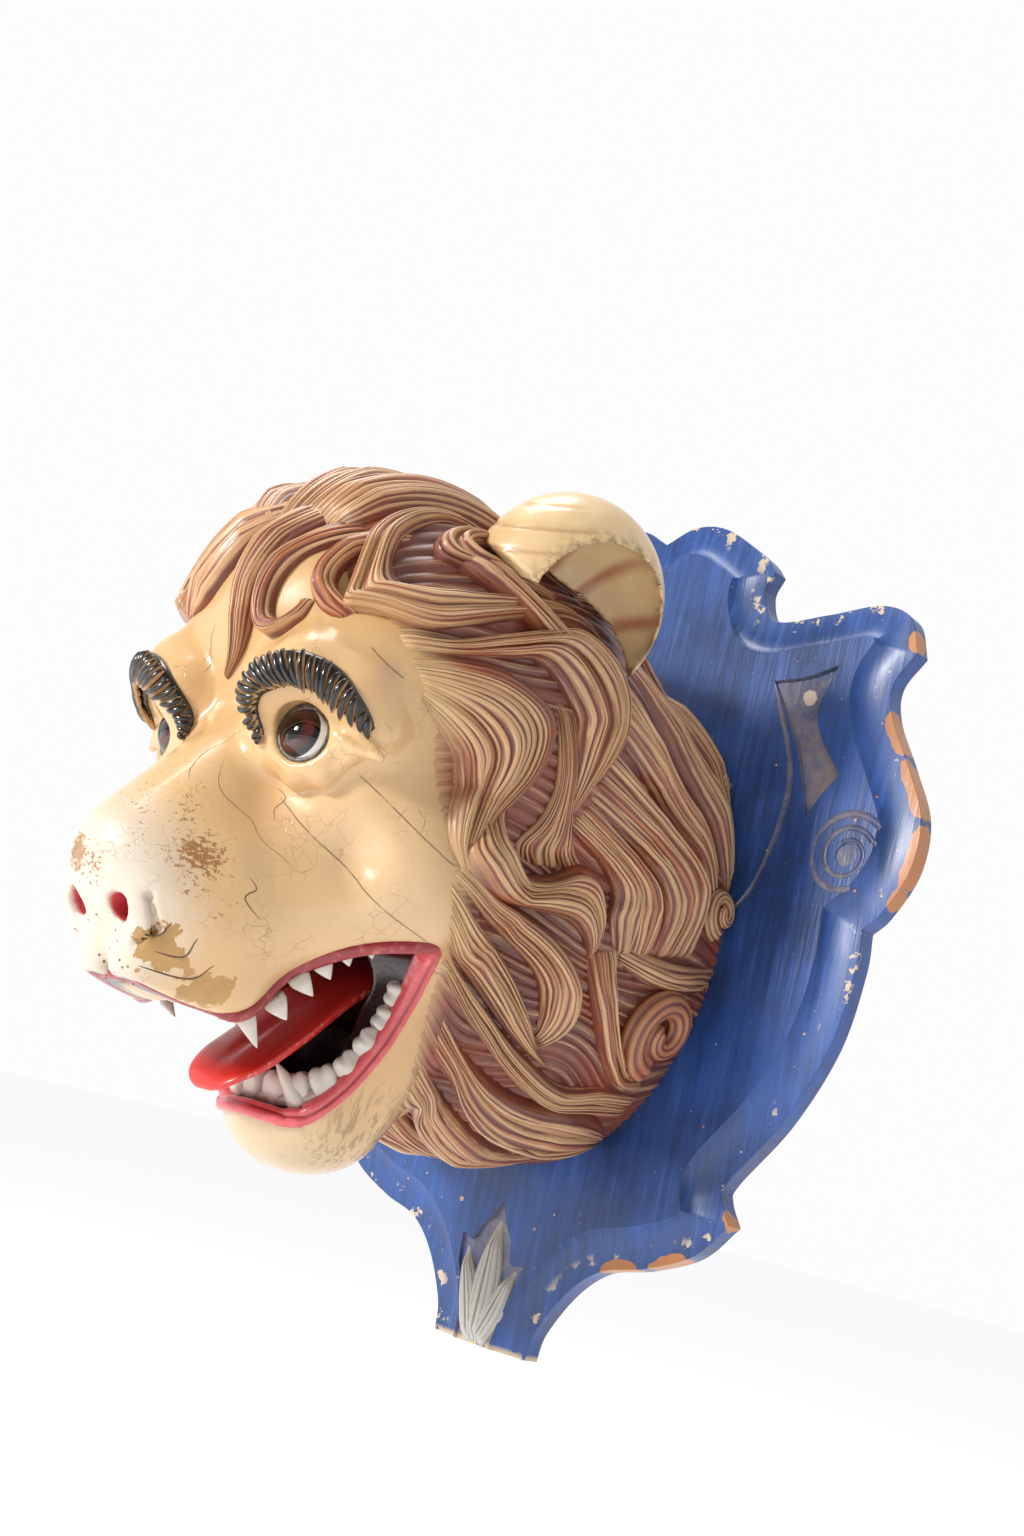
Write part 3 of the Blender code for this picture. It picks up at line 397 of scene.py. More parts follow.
def mane_grid():
    """The skin's places and directions on an even grid of share and angle"""
    share, angle = np.meshgrid(MANE_SHARES, MANE_ANGLES, indexing="ij")
    line = np.array(HAIRLINE, float)
    start = np.interp(angle, line[:, 0], line[:, 1])
    turn = np.radians(angle)
    origin = np.stack([0 * turn, start * (1 - share) + 3 * share, 0 * turn + NECK_LINE_UP], -1)
    direction = np.stack([np.sin(turn), 0 * turn, np.cos(turn)], -1)
    found = walk_in(origin, direction, 320)
    return found, unit(slope_of(skin, found))


MANE_SHARES = np.linspace(-0.15, 1.06, 122)
MANE_ANGLES = np.linspace(0, 182, 183)
MANE_PLACES, MANE_NORMALS = mane_grid()


def on_mane(share, angle):
    """Place and direction of the skin at a share and an angle, between the grid's four corners;
    a negative angle is on the right side"""
    share, angle = np.broadcast_arrays(np.asarray(share, float), np.asarray(angle, float))
    sign = np.where(angle < 0, -1.0, 1.0)
    i = np.clip((share - MANE_SHARES[0]) / (MANE_SHARES[1] - MANE_SHARES[0]), 0, len(MANE_SHARES) - 1.001)
    j = np.clip(np.abs(angle), 0, len(MANE_ANGLES) - 1.001)
    m, n = i.astype(int), j.astype(int)
    a, b = (i - m)[..., None], (j - n)[..., None]
    found = []
    for grid in (MANE_PLACES, MANE_NORMALS):
        low = grid[m, n] * (1 - b) + grid[m, n + 1] * b
        high = grid[m + 1, n] * (1 - b) + grid[m + 1, n + 1] * b
        value = low * (1 - a) + high * a
        value[..., 0] *= sign
        found.append(value)
    return found[0], unit(found[1])


def on_brow(side, up):
    """Place and direction of the forehead's skin straight behind a point seen from the front"""
    side, up = np.broadcast_arrays(np.asarray(side, float), np.asarray(up, float))
    origin = np.stack([side, 0 * side, up], -1)
    direction = np.zeros(origin.shape)
    direction[..., 1] = 1.0
    found = walk_in(origin, direction, 600)
    return found, unit(slope_of(skin, found))


def linked(name, data):
    """A new object in the scene that holds a mesh, a light or a camera"""
    made = bpy.data.objects.new(name, data)
    bpy.context.scene.collection.objects.link(made)
    return made


def outward(name, points, faces):
    """A new object from arrays of points and faces, its faces turned outwards"""
    mesh = bpy.data.meshes.new(name)
    mesh.from_pydata(np.asarray(points, float).tolist(), [], [list(f) for f in faces])
    bm = bmesh.new()
    bm.from_mesh(mesh)
    bmesh.ops.recalc_face_normals(bm, faces=bm.faces)
    bm.to_mesh(mesh)
    bm.free()
    return linked(name, mesh)


def piece(name, points, faces, material, values):
    """A new smooth piece with its paint and what its points carry, riding on the body"""
    made = outward(name, points, faces)
    mesh = made.data
    for key, numbers in values.items():
        numbers = np.asarray(numbers, np.float32)
        kind, field = ("FLOAT", "value") if numbers.ndim == 1 else ("FLOAT_VECTOR", "vector")
        mesh.attributes.new(key, kind, "POINT").data.foreach_set(field, numbers.ravel())
    mesh.polygons.foreach_set("use_smooth", [True] * len(mesh.polygons))
    mesh.materials.append(material)
    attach(made, "root")
    return made


def tube_faces(rows, columns, wrap_rows=False, first=0):
    """Quads between closed rings that are stored one after the other, with a face over each end unless
    the last ring joins the first"""
    r, c = np.meshgrid(np.arange(rows if wrap_rows else rows - 1), np.arange(columns), indexing="ij")
    r1, c1 = (r + 1) % rows, (c + 1) % columns
    quads = np.stack([r * columns + c, r * columns + c1, r1 * columns + c1, r1 * columns + c], -1)
    faces = (quads.reshape(-1, 4) + first).tolist()
    if not wrap_rows:
        last = first + (rows - 1) * columns
        faces += [list(range(first, first + columns)), list(range(last, last + columns))]
    return faces


class Heap:
    """Grids of points gathered into one mesh, with their values"""

    def __init__(self):
        self.points, self.faces, self.values, self.count = [], [], [], 0

    def add(self, sections, values, wrap_rows=False):
        """closed rings one after the other, with what their points carry"""
        rows, columns = sections.shape[:2]
        self.faces += tube_faces(rows, columns, wrap_rows, self.count)
        self.points.append(sections.reshape(-1, 3))
        self.values.append({k: np.broadcast_to(v, (rows, columns) + np.shape(v)[2:]).reshape(
            (rows * columns,) + np.shape(v)[2:]) for k, v in values.items()})
        self.count += rows * columns

    def piece(self, name, material, slot):
        """everything gathered, as one piece"""
        keys = self.values[0].keys()
        values = {k: np.concatenate([v[k] for v in self.values]) for k in keys}
        return piece(name, np.concatenate(self.points), self.faces, material, values)


def nets(field, low, high, cell):
    """Surface nets: the field is read on a coarse grid and then on a fine one near its zero; each
    fine cell that the zero passes gets one point, the mean of where it crosses the cell's edges,
    and each crossed edge gets a quad between the four cells round it"""
    low, high = np.array(low, float), np.array(high, float)
    blocks = np.ceil((high - low) / (4 * cell)).astype(int)
    n = blocks * 4 + 1
    axes = [low[i] + cell * np.arange(n[i]) for i in range(3)]
    coarse = field(np.stack(np.meshgrid(*[a[::4] for a in axes], indexing="ij"), -1))
    close = np.abs(coarse) < 7 * cell
    active = np.zeros(blocks, bool)
    for i, j, k in np.ndindex(2, 2, 2):
        active |= close[i:i + blocks[0], j:j + blocks[1], k:k + blocks[2]]
    at = [np.minimum(np.arange(n[i]) // 4, blocks[i] - 1) for i in range(3)]
    values = coarse[np.ix_(*at)].astype(np.float32)
    near = np.argwhere(active[np.ix_(*at)])
    for part in np.array_split(near, max(1, len(near) // 200000)):
        values[tuple(part.T)] = field(low + cell * part)
    inside = values < 0
    total = np.zeros(tuple(n - 1) + (3,), np.float32)
    count = np.zeros(tuple(n - 1), np.int32)
    for d in range(3):
        others = [i for i in range(3) if i != d]
        for corner in np.ndindex(2, 2):
            shift = np.zeros(3, int)
            shift[others] = corner
            first, second = (values[tuple(slice(s, s + m - 1) for s, m in zip(start, n))]
                             for start in (shift, shift + np.eye(3, dtype=int)[d]))
            crossed = (first < 0) != (second < 0)
            way = np.where(crossed, first / np.where(crossed, first - second, 1), 0)
            for i in range(3):
                total[..., i] += crossed * (shift[i] + (way if i == d else 0))
            count += crossed
    full = count > 0
    index = np.full(count.shape, -1)
    index[full] = np.arange(full.sum())
    points = (np.argwhere(full) + total[full] / count[full][:, None]) * cell + low
    quads = []
    for d in range(3):
        others = [(d + 1) % 3, (d + 2) % 3]
        this = [slice(1, m - 1) for m in n]
        after = list(this)
        this[d], after[d] = slice(0, n[d] - 1), slice(1, n[d])
        a, b = inside[tuple(this)], inside[tuple(after)]
        for flipped, crossed in ((False, a & ~b), (True, ~a & b)):
            where = np.argwhere(crossed) + np.array([s.start for s in this])
            corners = []
            for back in ((1, 1), (0, 1), (0, 0), (1, 0)):
                cells = where.copy()
                cells[:, others[0]] -= back[0]
                cells[:, others[1]] -= back[1]
                corners.append(index[tuple(cells.T)])
            quad = np.stack(corners, 1)
            quads.append(quad[:, ::-1] if flipped else quad)
    return points, np.concatenate(quads)


def settle(field, points, rounds=2):
    """Points moved along the slope on to the field's zero"""
    for _ in range(rounds):
        slope = slope_of(field, points)
        points = points - slope * (field(points) / np.maximum((slope ** 2).sum(-1), 1e-6))[:, None]
    return points


def fill(tree, made, inputs):
    """Plain values and other nodes' outputs put into a node's sockets"""
    for key, value in inputs.items():
        if isinstance(value, bpy.types.NodeSocket):
            tree.links.new(value, made.inputs[key])
        else:
            made.inputs[key].default_value = value


def add_node(tree, kind, inputs=None, out=None, **settings):
    """One shader node with its settings; an input is a plain value or another node's output. It hands
    back the output that is asked for, or else the node"""
    made = tree.nodes.new("ShaderNode" + kind)
    for name, value in settings.items():
        setattr(made, name, value)
    fill(tree, made, inputs or {})
    return made if out is None else made.outputs[out]


def mouth_line():
    """The mouth's outline from the side, smoothed between its straight front ends"""
    middle = even(spline(MOUTH[1:-1], 240), 54)
    return np.vstack([[MOUTH[0]], middle, [MOUTH[-1]]])


MOUTH_LINE = mouth_line()


def wedge_field(p):
    """Signed distance to the open mouth, seen from the side: to the nearest edge of its outline,
    negative inside by the even-odd rule"""
    out = np.full(p.shape[:-1], 40.0)
    near = (p[..., 1] > 195) & (p[..., 2] < -40) & (p[..., 2] > -260)
    q = p[near][:, 1:]
    far = np.full(len(q), 1e6)
    odd = np.zeros(len(q), bool)
    for a, b in zip(MOUTH_LINE, np.roll(MOUTH_LINE, -1, 0)):
        run = b - a
        t = np.clip(((q - a) @ run) / (run @ run), 0, 1)
        far = np.minimum(far, ((q - a - t[:, None] * run) ** 2).sum(1))
        rises = (a[1] > q[:, 1]) != (b[1] > q[:, 1])
        level = (b[0] - a[0]) * (q[:, 1] - a[1]) / ((b[1] - a[1]) or 1e-9) + a[0]
        odd ^= rises & (q[:, 0] < level)
    out[near] = np.sqrt(far) * np.where(odd, -1, 1)
    return out


def hollow_field(p):
    """Distance to the open mouth with the hollows behind the lips"""
    f = wedge_field(p)
    for centre, radii in MOUTH_HOLLOWS:
        f = blend(f, egg_field(p, centre, radii, 0), 6)
    return f


def ring_field(p, centre, normal, radius, thickness):
    """Distance to a ring: how far the point is from the circle round a normal, less its thickness"""
    q = p - np.array(centre, float)
    along = q @ normal
    across = np.sqrt(np.maximum((q ** 2).sum(-1) - along ** 2, 0)) - radius
    return np.sqrt(along ** 2 + across ** 2) - thickness


def hair_share(p):
    """How far back from the hairline a place lies: 0 at the line, 1 at the board"""
    angle = np.degrees(np.arctan2(np.abs(p[..., 0]), p[..., 2] - NECK_LINE_UP))
    line = np.array(HAIRLINE, float)
    start = np.interp(angle, line[:, 0], line[:, 1])
    return (start - p[..., 1]) / (start - 3)


def face_field(p):
    """The head's skin with its folds and lids added, the mouth, eyes and nostrils cut out, sunk a
    little behind the hairline, where the mane covers it"""
    q = both_sides(p)
    f = skin(p)
    for start, end, r0, r1, width in FOLDS:
        f = blend(f, taper_field(q, start, end, r0, r1), width)
    opens = unit(EYE_OPENS)
    f = blend(f, ring_field(q, EYE_CENTRE + opens * LID_OUT, opens, LID_RADIUS, LID_THICKNESS), 7)
    for start, end, r0, r1, width in CUTS:
        f = -blend(-f, taper_field(q, start, end, r0, r1), width)
    f = -blend(-f, egg_field(q, EYE_CENTRE, (EYE_SOCKET,) * 3, 0), 0.8)
    f = -blend(-f, egg_field(q, EYE_CENTRE + opens * 15 + (0, 0, 1.2), LID_OPENING, 0), 2.4)
    f = -blend(-f, hollow_field(p), 3.0)
    f = f + MANE_SINK * ease(0.01, 0.05, hair_share(p))
    return np.maximum(f, FACE_BACK - p[..., 1])


def make_face(paint, settings):
    """The face and jaws: surface nets of the face's field, settled on it"""
    cell = settings.face_cell / UNIT * 1.0
    points, quads = nets(face_field, *FACE_BOX, cell)
    points = settle(face_field, points)
    # How deep a point lies in the mouth's hollow; the paint goes dark there as painted shade
    inside = ease(2.0, 6.0, -skin(points)) * ease(8, 2, hollow_field(points))
    share = hair_share(points)
    start, end, r0, r1, _ = CUTS[0]
    nostril = ease(2.0, 0.4, taper_field(both_sides(points), start, end, r0, r1))
    nostril = nostril * ease(0.6, 2.6, -skin(points))
    values = {"inside": inside, "hair": ease(-0.09, 0.02, share), "nostril": nostril}
    made = piece("carved_face", place(points), quads, paint, values)
    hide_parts("lion_head")
    return made


def lip_line():
    """The mouth's edge on the left: where the wedge's outline meets the skin, from the middle of the
    upper lip round the corner to the middle of the lower one"""
    line = even(MOUTH_LINE[1:-1], 900)
    flat = np.column_stack([0 * line[:, 0], line])
    solid = skin(flat) < 0
    ends = np.flatnonzero(solid)
    flat = flat[ends[0]:ends[-1] + 1]
    out = walk_in(flat, np.tile([1.0, 0, 0], (len(flat), 1)), 150, 60)
    out[0, 0] = out[-1, 0] = 0
    return even(out, 170)


def make_lips(paint):
    """Both lips as one closed band: an outline carried along the mouth's edge, narrow and flat
    above and a double roll below, mixed over the corners"""
    half = lip_line()
    path = np.vstack([half, half[-2:0:-1] * np.array([-1, 1, 1])])
    rim = unit(slope_of(skin, path))
    lift = unit(slope_of(wedge_field, path) * np.array([0, 1, 1]) * -1)
    inward = rim - lift * (rim * lift).sum(-1, keepdims=True)
    inward = -unit(inward)
    upper = np.array([(-1.8, -3.6), (-3.2, -1.4), (-3.4, 1.6), (-1.8, 4.4), (1.2, 5.4), (4.4, 5.0),
                      (7.5, 3.4), (9.5, 1.6), (10.5, -0.6), (10.5, -2.5)])
    lower = np.array([(-1.0, -8.0), (-3.2, -6.4), (-3.8, -3.6), (-2.6, -1.4), (-1.6, -0.9), (-1.4, 1.4),
                      (1.0, 3.2), (5.0, 3.0), (10.0, 2.0), (13.5, -2.5)])
    count = len(half)
    below = ease(0.50, 0.60, np.linspace(0, 1, count))
    below = np.concatenate([below, below[-2:0:-1]])
    # In front the upper band draws back under the muzzle
    front = ease(330, 350, path[:, 1]) * (1 - below)
    outline = upper + (lower - upper) * below[:, None, None] + front[:, None, None] * np.array([4.5, -4.5])
    fine = []
    for i in range(len(upper)):
        j = (i + 1) % len(upper)
        fine += [outline[:, i], (outline[:, i] + outline[:, j]) / 2]
    outline = np.stack(fine, 1)
    sections = path[:, None] + outline[..., :1] * inward[:, None] + outline[..., 1:] * lift[:, None]
    heap = Heap()
    fold = np.exp(-((outline[..., 0] + 2.1) / 1.1) ** 2 - ((outline[..., 1] + 1.2) / 1.4) ** 2)
    heap.add(place(sections), {"below": below[:, None],
                               "fold": fold * below[:, None]}, wrap_rows=True)
    return heap.piece("lips", paint, "head_paint")


def strand_edges(count, rng):
    """Shares across a lock at which its ridges meet, some wide and some narrow"""
    sizes = rng.uniform(0.55, 1.45, count)
    return np.concatenate([[0], np.cumsum(sizes) / sizes.sum()])


RIDGE_SAMPLES = np.array([0.0, 0.11, 0.30, 0.52, 0.74, 0.90])
LOCK_ROOT = 6.0


def strands(edges):
    """Samples across a lock: the share, how high the ridge stands there, |sin|^0.7 of the way across
    it, and which ridge it is"""
    sizes = np.diff(edges)
    share = (edges[:-1, None] + sizes[:, None] * RIDGE_SAMPLES).ravel()
    hump = np.tile(np.sin(np.pi * RIDGE_SAMPLES) ** 0.7, len(sizes))
    which = np.repeat(np.arange(len(sizes)), len(RIDGE_SAMPLES))
    return np.append(share, 1.0), np.append(hump, 0.0), np.append(which, len(sizes) - 1)


def add_lock(heap, rail_a, rail_b, combs, rise, sign, settings, rng, ground=on_mane):
    """A sheaf of strands between two rails: a domed back, (1 - |2v - 1|^3)^0.6, that runs out at both
    ends, with rounded ridges of their own depth and height, sharp cuts between them and a hidden
    underside"""
    stations = 54
    a, b = spline(rail_a, stations), spline(rail_b, stations)
    pa, _ = ground(a[:, 0], a[:, 1])
    pb, _ = ground(b[:, 0], b[:, 1])
    width = np.linalg.norm(pa - pb, axis=1)
    count = max(3, int(round(width.max() * 0.95 / (settings.strand / UNIT))))
    share, hump, which = strands(strand_edges(count, rng))
    t = np.linspace(0, 1, stations)
    down = t[:, None]
    sway = rng.uniform(-1, 1, (count + 1, 3))
    wander = sum(sway[which, k] * np.sin(2 * np.pi * (k + 1) * 0.7 * down + 2 * k) for k in range(3))
    v = np.clip(share + wander * 1.1 / count * share * (1 - share), 0, 1)
    grid = a[:, None] + (b - a)[:, None] * v[..., None]
    base, normal = ground(grid[..., 0], grid[..., 1])
    dome = (1 - np.abs(2 * share - 1) ** 3) ** 0.6
    comb = 1 - 0.30 * (1 - np.abs(np.sin(np.pi * combs * share + 0.4)))
    own = rng.uniform(0, 1, (count, 4))[which]
    lift = (2 * own[:, 0] - 1) * (0.6 + 0.4 * np.sin(2 * np.pi * (down * 1.6 + own[:, 1])))
    deep = (0.55 + 0.75 * own[:, 2]) * (0.75 + 0.25 * np.sin(2 * np.pi * (down * 2.2 + own[:, 3])))
    run = np.minimum(1, 3.0 * t + 0.15) * np.minimum(1, 2.4 * (1 - t) + 0.2)
    run *= ease(0, 0.02, t) * ease(0, 0.03, 1 - t)
    local = np.minimum(width / count * 0.62, settings.strand_depth / UNIT)
    high = rise * run[:, None] * dome * comb
    high = high - local[:, None] * deep * (1 - hump) * (0.35 + 0.65 * dome) + lift * dome
    high = high * ease(0, 0.02, down) - 2.0 * (1 - dome) ** 2 - 2.5 * (1 - run[:, None]) ** 4
    top = base + normal * high[..., None]
    low = a[:, None] + (b - a)[:, None] * np.array([1.0, 0.5, 0.0])[:, None]
    base_low, normal_low = ground(low[..., 0], low[..., 1])
    under = base_low - normal_low * LOCK_ROOT
    sections = np.concatenate([top, under], 1)
    along = np.concatenate([[0], np.cumsum(np.linalg.norm(np.diff((pa + pb) / 2, axis=0), axis=1))])
    tint = rng.uniform(0, 1, count)[which]
    flow = np.stack(np.broadcast_arrays(share * width.max(), along[:, None], tint), -1)
    flow = np.concatenate([flow, np.zeros((stations, 3, 3))], 1)
    # Umber share: in the cuts between ridges, more where a cut is deeper, partly the glaze and partly
    # painted shade; along the sheaf's edges and toward its ends, painted shade where it sinks to the layer
    # below; full on the hidden underside
    dark = (1 - hump) * (0.55 + 0.45 * deep) + (1 - dome) ** 1.4 + 0.3 * (1 - run[:, None]) ** 3
    dark = np.concatenate([np.clip(dark, 0, 1), np.ones((stations, 3))], 1)
    fade = (ground is on_mane) * ease(0.085, -0.01, grid[..., 0])
    fade = np.concatenate([fade, np.zeros((stations, 3))], 1)
    heap.add(place(sections, sign), {"groove": dark, "flow": flow, "fade": fade})


def add_curl(heap, where, radius, sign, rng):
    """A snail of hair: a rod wound 1.35 turns on a flat spiral that shrinks and rises to its eye, with
    ridges along it"""
    centre, normal = on_mane(*where)
    side = unit(np.cross(normal, (0, 1, 0)))
    other = np.cross(normal, side)
    stations, around = ((90, 48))
    t = np.linspace(0, 1, stations)
    turn = 2 * math.pi * 1.35 * t + math.pi
    reach = radius * (1 - 0.8 * t)
    flat = centre + reach[:, None] * spokes(turn, side, other)[0]
    path = flat + normal * (1 + 8 * t)[:, None]
    ahead = unit(np.gradient(path, axis=0))
    across = unit(np.cross(normal, ahead))
    lift = np.cross(ahead, across)
    around_turn = full_turn(around)
    hump = np.abs(np.sin(around_turn * 4.5 + 0.6)) ** 0.7
    thick = radius * (0.44 - 0.20 * t) * (1 - ease(0.93, 1.0, t) * 0.7)
    reach = thick[:, None] * (0.86 + 0.14 * hump[None])
    sections = path[:, None] + reach[..., None] * spokes(around_turn, across, lift)
    flow = np.stack(np.broadcast_arrays(around_turn[None] * radius * 0.4, (t * radius * 6)[:, None],
                                        rng.uniform(0, 1)), -1)
    # Umber in the cuts between the curl's ridges: partly the glaze, partly painted shade
    heap.add(place(sections, sign),
             {"groove": np.broadcast_to(1 - hump, reach.shape), "flow": flow, "fade": np.zeros(reach.shape)})


def make_mane_base(paint, settings):
    """The layer under the locks: a thick tube from the hairline to the board, with fine ridges running
    back along it that wander a little"""
    rng = np.random.default_rng(11)
    count = 132
    edges = strand_edges(count, rng)
    share, hump, which = strands(edges)
    share, hump, which = share[:-1], hump[:-1], which[:-1]
    angle = share * 360 - 180
    rows = 64
    first = -0.035 + 0.075 * ease(50, 34, np.abs(angle))
    s = first[None] + (1.03 - first)[None] * np.linspace(0, 1, rows)[:, None]
    sway = 5 * np.sin(s * 9) * np.sin(np.radians(angle * 3))[None]
    turned = angle + (np.abs(angle) <= 172) * sway * ease(180, 160, np.abs(angle))
    base, normal = on_mane(s, turned)
    depth = np.minimum(settings.strand_depth / UNIT, 0.6 + 14 * np.maximum(s, 0))
    high = ease(0, 0.065, s - first) * 2.2 - 1.6 - depth * (1 - hump)[None] * 0.7 + 0.6
    top = base + normal * high[..., None]
    inner_s = first[None] + 0.015 + (1.015 - first)[None] * np.linspace(1, 0, 5)[:, None]
    inner, inner_normal = on_mane(inner_s, np.tile(angle, (5, 1)))
    sections = np.concatenate([top, inner - inner_normal * 9])
    tint = rng.uniform(0, 1, count)[which]
    flow = np.stack(np.broadcast_arrays(share[None] * 900, s * 300, tint[None]), -1)
    fade = ease(0.06, -0.02, s)
    heap = Heap()
    back = np.zeros((5, len(angle)))
    # The under layer's groove value stays high, so umber covers most of it: painted shade in the gaps
    # between the locks
    heap.add(place(sections), {"groove": np.concatenate([np.clip(1.55 - hump[None] + 0 * s, 0, 1.3), back]),
                               "flow": np.concatenate([flow, np.zeros((5, len(angle), 3))]),
                               "fade": np.concatenate([fade, back])}, wrap_rows=True)
    return heap.piece("mane_base", paint, "head_paint")


def make_locks(paint, settings):
    """The carved locks: every sheaf on both sides, the curls, the crest and the forelock"""
    for sign, side in SIDES:
        heap = Heap()
        for number, (rail_a, rail_b, combs, rise) in enumerate(SHEAVES):
            rng = np.random.default_rng(100 + number + (50 if sign < 0 else 0))
            add_lock(heap, rail_a, rail_b, combs, rise, sign, settings, rng)
        for where, radius in CURLS:
            add_curl(heap, where, radius, sign, rng)
        heap.piece("mane_locks_" + side, paint, "head_paint")
    heap = Heap()
    rng = np.random.default_rng(7)
    add_lock(heap, *CREST, 1, settings, rng)
    for lock in FRONT_LOCKS:
        add_lock(heap, *lock, 1, settings, rng, ground=on_brow)
    heap.piece("crest_and_forelock", paint, "head_paint")


BROW_LINE = ((43, 20), (42, 36), (50, 50), (61, 58), (74, 62), (86, 61), (95, 56), (102, 48), (107, 39))
BROW_TUFTS = 26
BROW_ROLL = 9.6


def make_brows(paint):
    """Each brow: a low roll along its arc with curved tufts laid across it, every tuft a rod that
    swells in the middle, sweeps outwards and ends in a point past the roll's edge"""
    stations, around = ((150, 20))
    steps, sides = ((22, 14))
    rng = np.random.default_rng(31)
    t = np.linspace(0, 1, stations)
    turn = full_turn(around)
    round_tuft = full_turn(sides)
    u = np.linspace(0, 1, steps)
    for sign, side in SIDES:
        heap = Heap()
        flat = even(spline(BROW_LINE, 400), stations)
        # The carver set the right brow a little nearer the middle
        flat[:, 0] -= (sign < 0) * (4 + 8 * ease(0.55, 0.0, t))
        path, out = on_brow(flat[:, 0], flat[:, 1])
        ahead = unit(np.gradient(path, axis=0))
        across = unit(np.cross(ahead, out))
        lift = np.cross(across, ahead)
        size = BROW_ROLL * np.sqrt(np.clip(1 - np.abs(2 * t - 1) ** 3.0, 0.03, 1))
        size = size * (0.7 + 0.3 * ease(0.1, 0.45, t))
        sections = path[:, None] + size[:, None, None] * spokes(turn, 1.12 * across, 0.62 * lift)
        heap.add(place(sections, sign), {"stroke": np.full(sections.shape[:2], 0.9)})
        for number in range(BROW_TUFTS):
            place_at = (number + 0.5 + rng.uniform(-0.2, 0.2)) / BROW_TUFTS
            k = min(int(place_at * (stations - 1)), stations - 2)
            reach = size[k] * rng.uniform(1.05, 1.3)
            sweep = rng.uniform(5.5, 8.5) * (0.5 + place_at)
            over = reach * (2 * u - 0.9)
            run = sweep * (u ** 2 - 0.25)
            rise = 0.60 * size[k] * np.sqrt(1 - (0.86 * (2 * u - 1)) ** 2) + rng.uniform(0.4, 1.3)
            line = path[k] - over[:, None] * across[k] + run[:, None] * ahead[k] + rise[:, None] * lift[k]
            along = unit(np.gradient(line, axis=0))
            beside = unit(np.cross(along, lift[k]))
            above = np.cross(beside, along)
            thick = rng.uniform(2.2, 3.0) * np.sqrt(np.sin(np.pi * (0.06 + 0.92 * u))) + 0.12
            sections = line[:, None] + thick[:, None, None] * spokes(round_tuft, 0.95 * beside, 1.2 * above)
            pale = np.cos(round_tuft)[None] ** 2
            heap.add(place(sections, sign),
                     {"stroke": np.clip(1.05 - 0.75 * pale - 0.5 * ease(0.82, 1.0, u)[:, None]
                                        + rng.uniform(-0.12, 0.12), 0, 1)})
        heap.piece("brow_" + side, paint, "head_paint")


def make_eyes(paint, lid_paint, settings):
    """Glass balls with the iris marked by the angle from the way the eye looks, and a painted rim
    round each, a ring of rising and falling thickness"""
    rows, columns = ((72, 96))
    opens = unit(EYE_OPENS)
    look = unit(EYE_LOOKS)
    for sign, side in SIDES:
        low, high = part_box("eye_" + side)
        centre = np.array((low + high) / 2)
        flip = np.array([sign, -1, 1])
        axis = unit(look * flip)
        across = unit(np.cross(axis, (0, 0, 1)))
        up = np.cross(across, axis)
        polar = np.linspace(0.004, np.pi - 0.004, rows)
        round_turn = full_turn(columns)
        tilt = polar[:, None, None]
        way = np.cos(tilt) * axis + np.sin(tilt) * spokes(round_turn, across, up)
        heap = Heap()
        heap.add(centre + way * settings.eye, {"angle": np.degrees(polar)[:, None]})
        ball = heap.piece("glass_eye_" + side, paint, "eye_glass")
        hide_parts("eye_" + side)
        stations, around = ((120, 16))
        t = full_turn(stations)
        normal = unit(opens * flip)
        e1 = unit(np.cross(normal, (0, 0, 1)))
        e2 = np.cross(e1, normal)
        out = spokes(t, 0.96 * e1, 1.06 * e2)[0]
        ring = centre + UNIT * (11.2 * normal + 15.9 * out)
        thick = UNIT * (1.5 + 0.4 * np.sin(t))
        turn = full_turn(around)
        heap = Heap()
        heap.add(ring[:, None] + thick[:, None, None] * spokes(turn, 1.3 * out, normal), {}, wrap_rows=True)
        heap.piece("eye_rim_" + side, lid_paint, "head_paint")


def ear_axes(sign):
    """Which way an ear opens, which way is ahead along it and which way is up, in the part's frame"""
    opens = unit(np.array(EAR_OPENS) * np.array([sign, -1, 1]))
    rise = unit(np.array([0, 0, 1]) - opens * opens[2])
    return np.array([opens, np.cross(opens, rise) * sign, rise])


def ear_field(q):
    """An egg less a smaller one moved out and back, which leaves a thin wall behind and a thick lobe
    in front, ending where it meets the hair; q is (out, ahead, up)"""
    outer = egg_field(q, (0, 0, 0), EAR_RADII, 0)
    hollow = egg_field(q, EAR_SHIFT, EAR_HOLLOW, 0)
    drawn = np.array(EAR_CENTRE) + (q @ ear_axes(1)) * np.array([1, -1, 1])
    shell = np.maximum(-blend(-outer, hollow, 2.0), 8.0 - skin(drawn))
    return np.maximum(shell, np.minimum(q[..., 1] - 22, 0.55 * (q[..., 1] - 42) - 2 - q[..., 2]))


